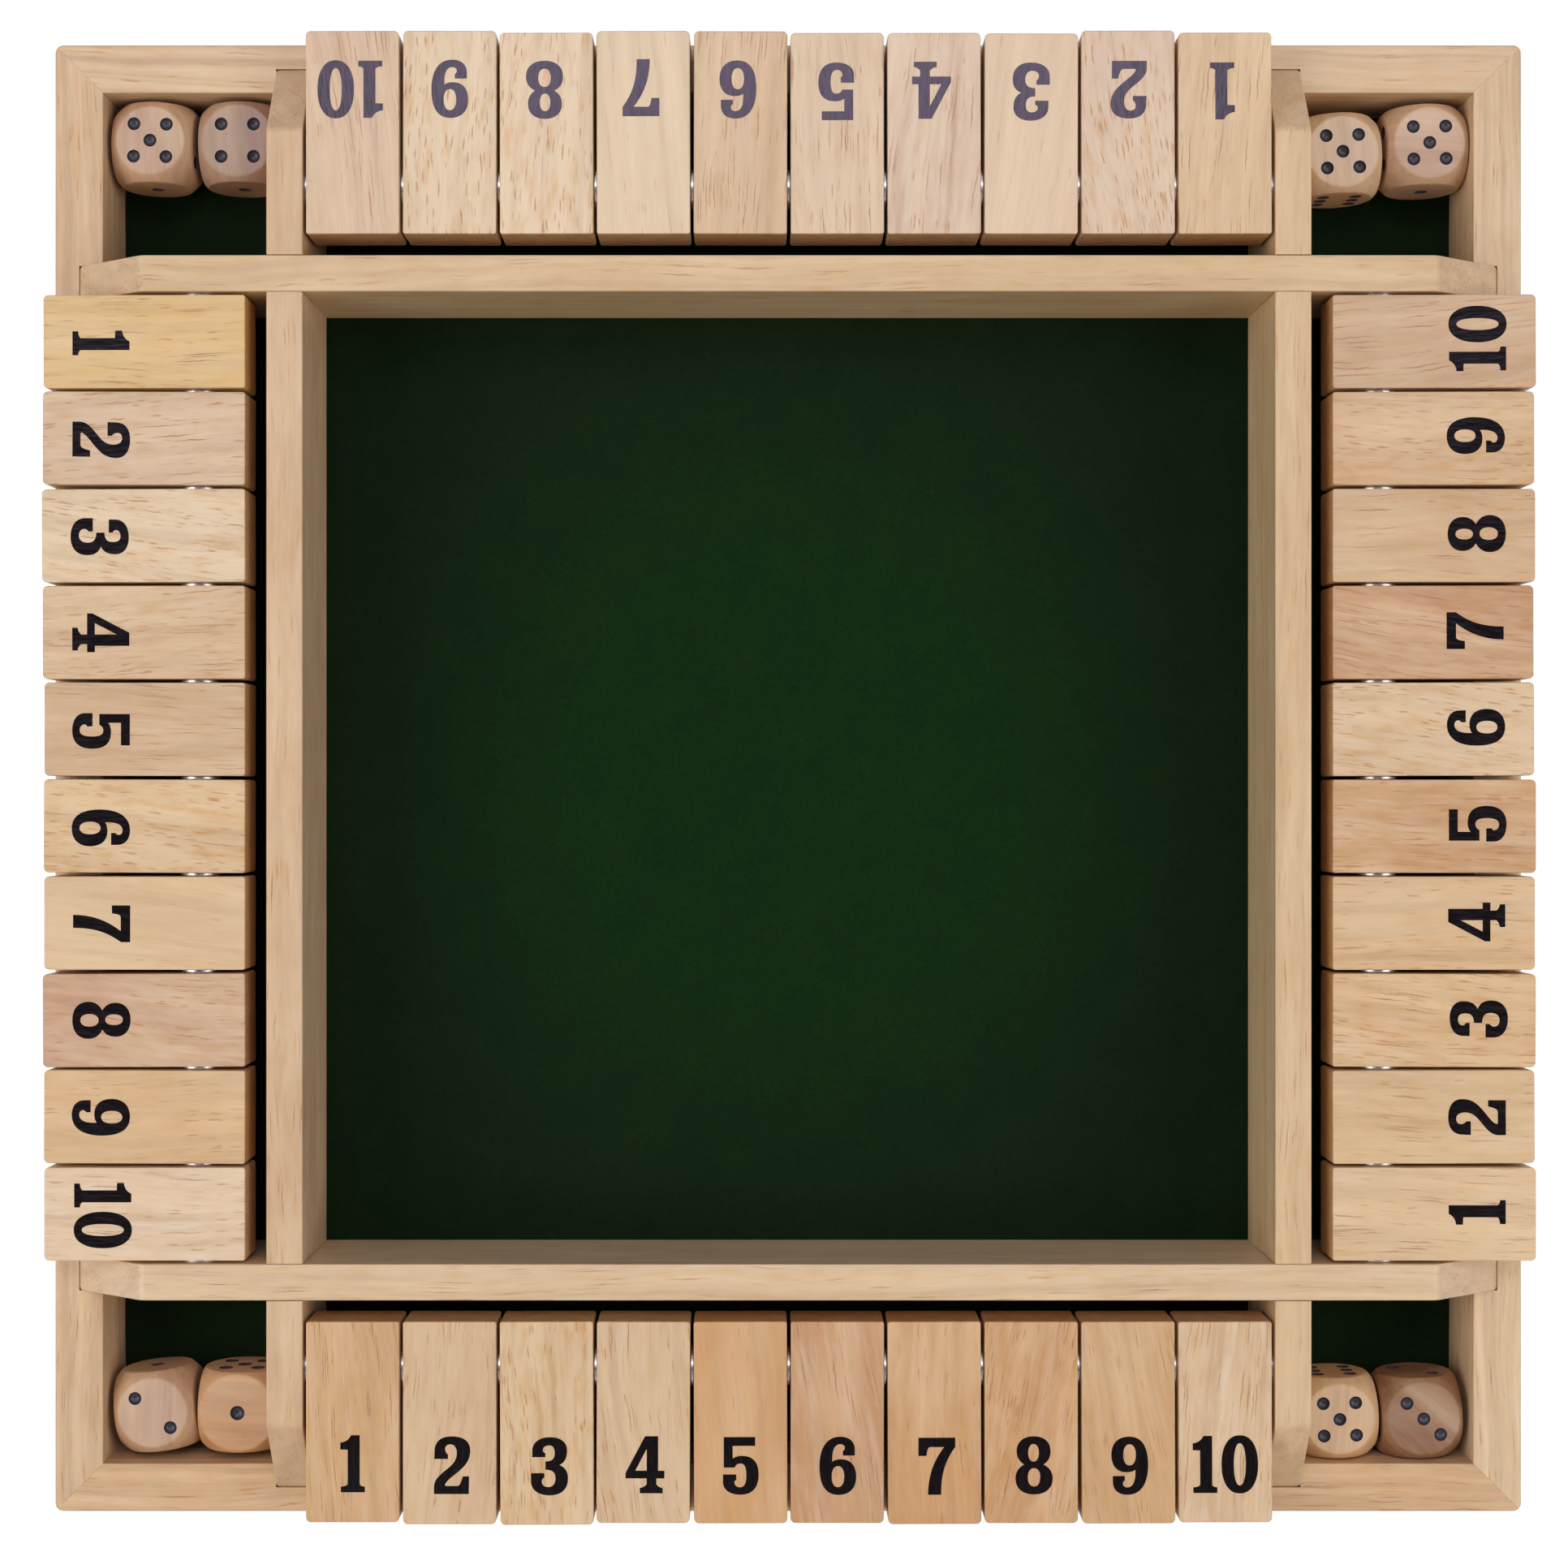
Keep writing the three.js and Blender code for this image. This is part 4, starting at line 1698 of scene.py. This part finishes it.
@dataclass
class Die:
    """A wooden die: a cube whose corners and edges are turned off by a ball.

    Attributes:
        name: The die's node and body.
        top: The value on top.
        front: The value towards -Y.
        turn: Its turn about +Z in degrees, anticlockwise.
        tint: The colour of its wood.
        seed: Picks its part of the board.
        heading: The way the fibres run before the turn, in degrees from +X.
        figure: What its wood shows most.
        flat: The radius of the flat circle left on each face.
        soft: How wide the crease round that circle is rounded.
        spot: The radius of a spot.
        spot_depth: How deep a spot is drilled.
        spot_around: How many points go round a spot.
        spot_rings: How many rings of points a spot's hollow has.
        spot_core: The innermost ring's radius, as a share of the spot's.
        spread: From the middle of a face to an outer spot.
        around: How many points go round a face.
        rings: How many rings of points there are from the crease to the next face.
        merge: How near points of neighbouring faces are that become one.
        browned: How browned the wood is outside the flat circles, from 0 to 1.
        slant: The most that the fibres run askew, in degrees.
        crease: The angle in degrees past which an edge stays crisp.
    """

    name: str
    top: int
    front: int
    turn: float
    tint: Tint
    seed: int
    heading: float = 0
    figure: Figure = Figure.PLAIN
    flat: float = 7.0
    soft: float = 0.2
    spot: float = 1.28
    spot_depth: float = 0.85
    spot_around: int = 28
    spot_rings: int = 7
    spot_core: float = 0.08
    spread: float = 3.2
    around: int = 96
    rings: int = 12
    merge: float = 0.004
    browned: float = 0.75
    slant: float = 8
    crease: float = 24

    def right(self) -> int:
        """The value on the +X face, when 1, 2 and 3 run anticlockwise and opposite faces sum to seven.

        Returns:
            The value.
        """
        axis_top, axis_front = min(self.top, 7 - self.top), min(self.front, 7 - self.front)
        sign = (1 if self.top <= 3 else -1) * (1 if self.front <= 3 else -1)
        order = 1 if (axis_front - axis_top + 3) % 3 == 1 else -1
        third = 6 - axis_top - axis_front
        return third if sign * order > 0 else 7 - third

    def spots(self, value: int, half: float) -> tuple[list[np.ndarray], list[Surface]]:
        """The drilled spots of a face that looks towards +Z.

        A spot is part of a ball: with depth d and rim radius s the ball's radius is (s^2 + d^2) / 2d.

        Args:
            value: The face's value.
            half: Half the die's side.

        Returns:
            The outline of each spot, clockwise, and each spot's hollow.
        """
        ball = (self.spot**2 + self.spot_depth**2) / (2 * self.spot_depth)
        lowest = half - self.spot_depth
        radii = self.spot * np.linspace(1, self.spot_core, self.spot_rings)
        rims, hollows = [], []
        for across, up in SPOT_SHARES[value]:
            middle = (across * self.spread, up * self.spread)
            rings = []
            for radius in radii:
                flat = circle(middle, radius, radius, self.spot_around)[::-1]
                height = lowest + ball - math.sqrt(ball**2 - radius**2)
                rings.append(at_height(flat, height))
            rims.append(rings[0][:, :2])
            points = np.concatenate([*rings, [[*middle, lowest]]])
            count = len(rings[0])
            faces: list[Sequence[int]] = grid_faces(len(rings), count).tolist()
            last = (len(rings) - 1) * count + np.arange(count)
            centre = np.full(count, len(points) - 1)
            faces += np.stack([last, np.roll(last, -1), centre], axis=-1).tolist()
            hollows.append(Surface(points, faces, [True] * len(faces)))
        return rims, hollows

    def face(self, value: int, half: float) -> Surface:
        """The face that looks towards +Z, out to where its neighbours begin.

        Inside the crease it is flat. Outside, a point in direction p from the face's middle lies on the
        ball at a polar angle from the crease's to the one where the height equals the larger of |x| and
        |y|, which is where the neighbouring face takes over.

        Args:
            value: The face's value.
            half: Half the die's side.

        Returns:
            The surface.
        """
        ball = math.hypot(half, self.flat)
        angle = np.linspace(0, 2 * math.pi, self.around, endpoint=False)
        direction = np.stack([np.cos(angle), np.sin(angle)], axis=-1)
        rims, hollows = self.spots(value, half)
        inner = self.flat - self.soft
        outline = direction * inner
        flat = np.concatenate([outline, *rims])
        disc = Surface(at_height(flat, half), filled([outline, *rims]).tolist())
        start = math.asin(self.flat / ball) + self.soft / ball
        stop = np.arctan(1 / np.abs(direction).max(1))
        share = np.linspace(0, 1, self.rings)[:, None]
        polar = start + (stop - start) * share
        shell = ball * np.stack(
            [np.sin(polar) * direction[:, 0], np.sin(polar) * direction[:, 1], np.cos(polar)], axis=-1
        )
        first = at_height(outline, half)
        rows = np.concatenate([first[None], shell])
        band = Surface(rows.reshape(-1, 3), grid_faces(len(rows), self.around)[:, ::-1].tolist())
        return joined([disc, band, *hollows])

    def build(self, finishes: Finishes) -> bpy.types.Object:
        """Builds the die from six faces and closes the seams between them.

        Args:
            finishes: The materials.

        Returns:
            The piece.
        """
        low, high = LAYOUT.box(self.name)
        half = (high[2] - low[2]) / 2
        right = self.right()
        x, y, z = np.eye(3)
        sides = [
            (self.top, x, y), (7 - self.top, x, -y), (self.front, x, z),
            (7 - self.front, -x, z), (right, y, z), (7 - right, -y, z),
        ]
        parts = []
        for value, across, up in sides:
            part = self.face(value, half)
            parts.append(part.mapped(part.points @ np.stack([across, up, np.cross(across, up)])))
        whole = joined(parts)
        _, first, same = np.unique(
            np.round(whole.points / self.merge).astype(int), axis=0, return_index=True, return_inverse=True
        )
        same = same.ravel()
        faces = [same[list(face)].tolist() for face in whole.faces]
        points = whole.points[first]
        # The flat circles are the only triangles that aren't marked.
        browned = np.array([
            0.0 if mark or len(face) == 3 else self.browned for face, mark in zip(faces, whole.marked)
        ])
        turn = math.radians(self.turn)
        cos, sin = math.cos(turn), math.sin(turn)
        spin = np.array([[cos, sin, 0], [-sin, cos, 0], [0, 0, 1]])
        surface = Surface(points @ spin + (low + high) / 2, faces, whole.marked)
        heading = math.radians(self.heading)
        along = tuple(np.array([math.cos(heading), math.sin(heading), 0]) @ spin)
        board = Board(self.tint, Pick.DIE + self.seed, along, self.slant, self.figure)
        return Piece(self.name, self.name, "dice_wood", (self.name,)).make(
            surface, [finishes.dice, finishes.paint], board, self.crease, browned
        )


# The studio


@dataclass(frozen=True)
class Softbox:
    """A soft lamp that faces the middle of the box.

    Attributes:
        name: The lamp's name.
        place: Where it stands, in metres.
        size: Its width and height in metres.
        share: The part of the light on a level surface that it gives.
        color: The colour of its light.
    """

    name: str
    place: tuple[float, float, float]
    size: tuple[float, float]
    share: float
    color: str = "#ffffff"

    def build(self) -> bpy.types.Object:
        """Sets the lamp up.

        A lamp of area A, at distance d and height h, needs the power pi^2 share d^3 / h to give a level
        white surface that share of full brightness.

        Returns:
            The lamp.
        """
        light = bpy.data.lights.new(self.name, "AREA")
        light.shape = "RECTANGLE"
        light.size, light.size_y = self.size
        distance = math.hypot(*self.place)
        light.energy = math.pi**2 * self.share * distance**3 / self.place[2]
        light.color = linear(self.color)[:3]
        lamp = bpy.data.objects.new(self.name, light)
        lamp.location = self.place
        lamp.rotation_mode = "QUATERNION"
        lamp.rotation_quaternion = (-Vector(self.place)).to_track_quat("-Z", "Y")
        bpy.context.scene.collection.objects.link(lamp)
        return lamp


@dataclass(frozen=True)
class PaperBackdrop(Finish):
    """Matt white paper, rolled out as a floor.

    The eye gets a plain white that turns a little grey where the box shades it.

    Attributes:
        glow: How brightly the paper shows by itself to the eye and in reflections.
    """

    name: str = "matt_white_paper_backdrop"
    glow: float = 0.78

    def shade(self, add: AddNode) -> Inputs:
        """Adds the nodes of the paper.

        Args:
            add: Adds a node to the material's tree.

        Returns:
            The inputs of the surface's shader.
        """
        shown = Studio.shown_directly(add)
        return {
            "Base Color": linear("#a6a6a6"),
            "Roughness": 1.0,
            "Specular IOR Level": 0.0,
            "Emission Color": (1.0, 1.0, 1.0, 1.0),
            "Emission Strength": add("Math", (shown, self.glow), operation="MULTIPLY"),
        }


@dataclass(frozen=True)
class Studio:
    """The camera, the lamps, the floor and the world.

    Attributes:
        frame_px: Width and height of the photograph.
        nadir_px: The pixel straight below the camera, from the upper left corner.
        focal_px: The focal length in pixels.
        camera_place: Where the camera hangs, in millimetres.
        sensor: The width of its sensor, in millimetres.
        sight: The nearest and the farthest that it sees, in metres.
        ambient: The part of the light that comes evenly from all round.
        ceiling: How bright the ceiling is in a reflection.
        back_rise: How much further up the backdrop goes at the back.
        fade: The heights of the direction looked in between which the backdrop fades.
        softboxes: The lamps.
        floor_half: Half the width of the floor, in millimetres.
        floor_drop: How far the floor lies below the box, so that the two don't touch.
    """

    frame_px: tuple[int, int] = (1932, 1912)
    nadir_px: tuple[float, float] = (934, 985)
    focal_px: float = 3267
    camera_place: tuple[float, float, float] = (-5.95, -4.2, 543.8)
    sensor: float = 36.0
    sight: tuple[float, float] = (0.01, 20.0)
    ambient: float = 0.16
    ceiling: float = 0.13
    back_rise: float = 1.6
    fade: tuple[float, float] = (0.38, 0.66)
    softboxes: tuple[Softbox, ...] = (
        Softbox("softbox_left", (-1.0, -0.1, 0.95), (0.9, 0.9), 0.3, "#fffafa"),
        Softbox("softbox_right", (1.0, -0.1, 0.95), (0.9, 0.9), 0.255, "#fffafa"),
        Softbox("softbox_front", (-0.1, -1.0, 0.95), (1.8, 1.3), 0.11, "#fff0e0"),
        Softbox("softbox_back", (0.0, 0.6, 1.45), (0.84, 0.5), 0.2, "#efeaff"),
    )
    floor_half: float = 3000.0
    floor_drop: float = 0.05

    def build_camera(self) -> None:
        """Hangs the camera over the box, looking straight down with +Y up in the picture."""
        width, height = self.frame_px
        data = bpy.data.cameras.new("camera")
        data.sensor_width = self.sensor
        data.lens = self.sensor * self.focal_px / width
        data.shift_x = (width / 2 - self.nadir_px[0]) / width
        data.shift_y = (self.nadir_px[1] - height / 2) / width
        data.clip_start, data.clip_end = self.sight
        camera = bpy.data.objects.new("camera", data)
        camera.location = Vector(self.camera_place) * MM
        bpy.context.scene.collection.objects.link(camera)
        bpy.context.scene.camera = camera

    def build_world(self) -> None:
        """Lights the world evenly, and shows a white backdrop below a dim ceiling.

        The height of the direction looked in is its z, less a multiple of its y where that is above 0, so
        the backdrop rises much further at the back before it fades into the ceiling.
        """
        world = bpy.data.worlds.new("studio")
        bpy.context.scene.world = world
        world.use_nodes = True
        world.node_tree.nodes.clear()
        add = partial(add_node, world.node_tree)
        toward = add("TexCoord", {}, "Generated")
        _, back, up = add("SeparateXYZ", [toward]).node.outputs
        behind = add("Math", (back, 0.0), operation="MAXIMUM")
        height = add("Math", (behind, -self.back_rise, up), operation="MULTIPLY_ADD")
        ceiling = add("MapRange", (height, *self.fade, 1.0, self.ceiling))
        shown = self.shown_directly(add)
        strength = add("Mix", {0: shown, 2: self.ambient, 3: ceiling}, data_type="FLOAT")
        light = add("Background", {"Color": (1, 1, 1, 1), "Strength": strength})
        add("OutputWorld", {"Surface": light})

    @staticmethod
    def shown_directly(add: AddNode) -> Any:
        """Tells apart the rays that show a surface from those that light one.

        Args:
            add: Adds a node to the tree.

        Returns:
            A socket that is 1 where the eye, a reflection or glass shows the surface, and otherwise 0.
        """
        camera = add("LightPath", {}, "Is Camera Ray")
        others = camera.node.outputs
        two = add("Math", (camera, others["Is Glossy Ray"]), operation="MAXIMUM")
        return add("Math", (two, others["Is Transmission Ray"]), operation="MAXIMUM")

    def build_floor(self) -> None:
        """Lays a pale floor that shows white, a little greyer where the box shades it."""
        corners = np.array([[-1, -1], [1, -1], [1, 1], [-1, 1]]) * self.floor_half
        mesh = bpy.data.meshes.new("studio_floor")
        points = at_height(corners, -self.floor_drop) * MM
        mesh.from_pydata(points.tolist(), [], [[0, 1, 2, 3]])
        floor = bpy.data.objects.new("studio_floor", mesh)
        bpy.context.scene.collection.objects.link(floor)
        mesh.materials.append(PaperBackdrop().build())

    def build(self) -> None:
        """Sets up the whole studio."""
        self.build_camera()
        self.build_world()
        self.build_floor()
        for softbox in self.softboxes:
            softbox.build()
        bpy.context.scene.view_settings.view_transform = "Standard"


# The colours of each side's rail and frame side
RAIL_TINTS = {Side.FRONT: Tint.OAT, Side.LEFT: Tint.FAWN, Side.BACK: Tint.WHEAT, Side.RIGHT: Tint.WHEAT}
WALL_TINTS = {Side.FRONT: Tint.HAY, Side.LEFT: Tint.FAWN, Side.BACK: Tint.STRAW, Side.RIGHT: Tint.OAT}

# The ten tiles of each row, from 1 to 10: their colours, and what their wood shows most
TILE_TINTS = {
    Side.FRONT: "honey straw sand straw tan russet tan spice honey straw",
    Side.LEFT: "amber rose cream straw fawn wheat sand ash flax pale",
    Side.BACK: "sand pearl pale pearl pale straw cream cream cream rose",
    Side.RIGHT: "sand wheat flax flax spice oat russet hay hay dusk",
}
TILE_FIGURES = {
    Side.FRONT: "lined faint pored faint plain lined faint dashed faint streaked",
    Side.LEFT: "faint dashed pored dashed lined pored plain dashed faint streaked",
    Side.BACK: "lined pored plain streaked faint lined plain pored pored lined",
    Side.RIGHT: "lined faint dashed faint dashed pored dashed lined pored lined",
}

DICE = (
    Die("die_back_left_outer", 5, 1, -0.9, Tint.CLAY, 1, 90, flat=6.72),
    Die("die_back_left_inner", 4, 1, 0, Tint.MAUVE, 2, -75, flat=7.1),
    Die("die_back_right_inner", 5, 6, 2, Tint.ROSE, 3, 90),
    Die("die_back_right_outer", 5, 1, 0.9, Tint.CLAY, 4),
    Die("die_front_left_outer", 2, 6, 5.5, Tint.CLAY, 5, 90, flat=6.8),
    Die("die_front_left_inner", 1, 2, 0, Tint.RUSSET, 6, flat=7.55, spot=1.42),
    Die("die_front_right_inner", 5, 1, 1.5, Tint.FAWN, 7, 90, flat=6.9),
    Die("die_front_right_outer", 3, 5, 2.4, Tint.UMBER, 8, -45, Figure.BANDED, flat=7.15),
)


def main() -> None:
    """Builds the studio and the whole box."""
    logging.basicConfig(level=logging.INFO, format="%(message)s")
    Studio().build()
    finishes = Finishes()
    floor = Floor()
    floor.build_board(finishes)
    floor.build_felt(finishes)
    for side in Side:
        FrameSide(side, WALL_TINTS[side]).build(finishes)
        Rail(side, RAIL_TINTS[side]).build(finishes)
        RodAndWashers(side).build(finishes)
        tints = tuple(Tint[word.upper()] for word in TILE_TINTS[side].split())
        figures = tuple(Figure[word.upper()] for word in TILE_FIGURES[side].split())
        TileRow(side, tints, figures).build(finishes)
    for die in DICE:
        die.build(finishes)


if __name__ == "__main__":
    main()
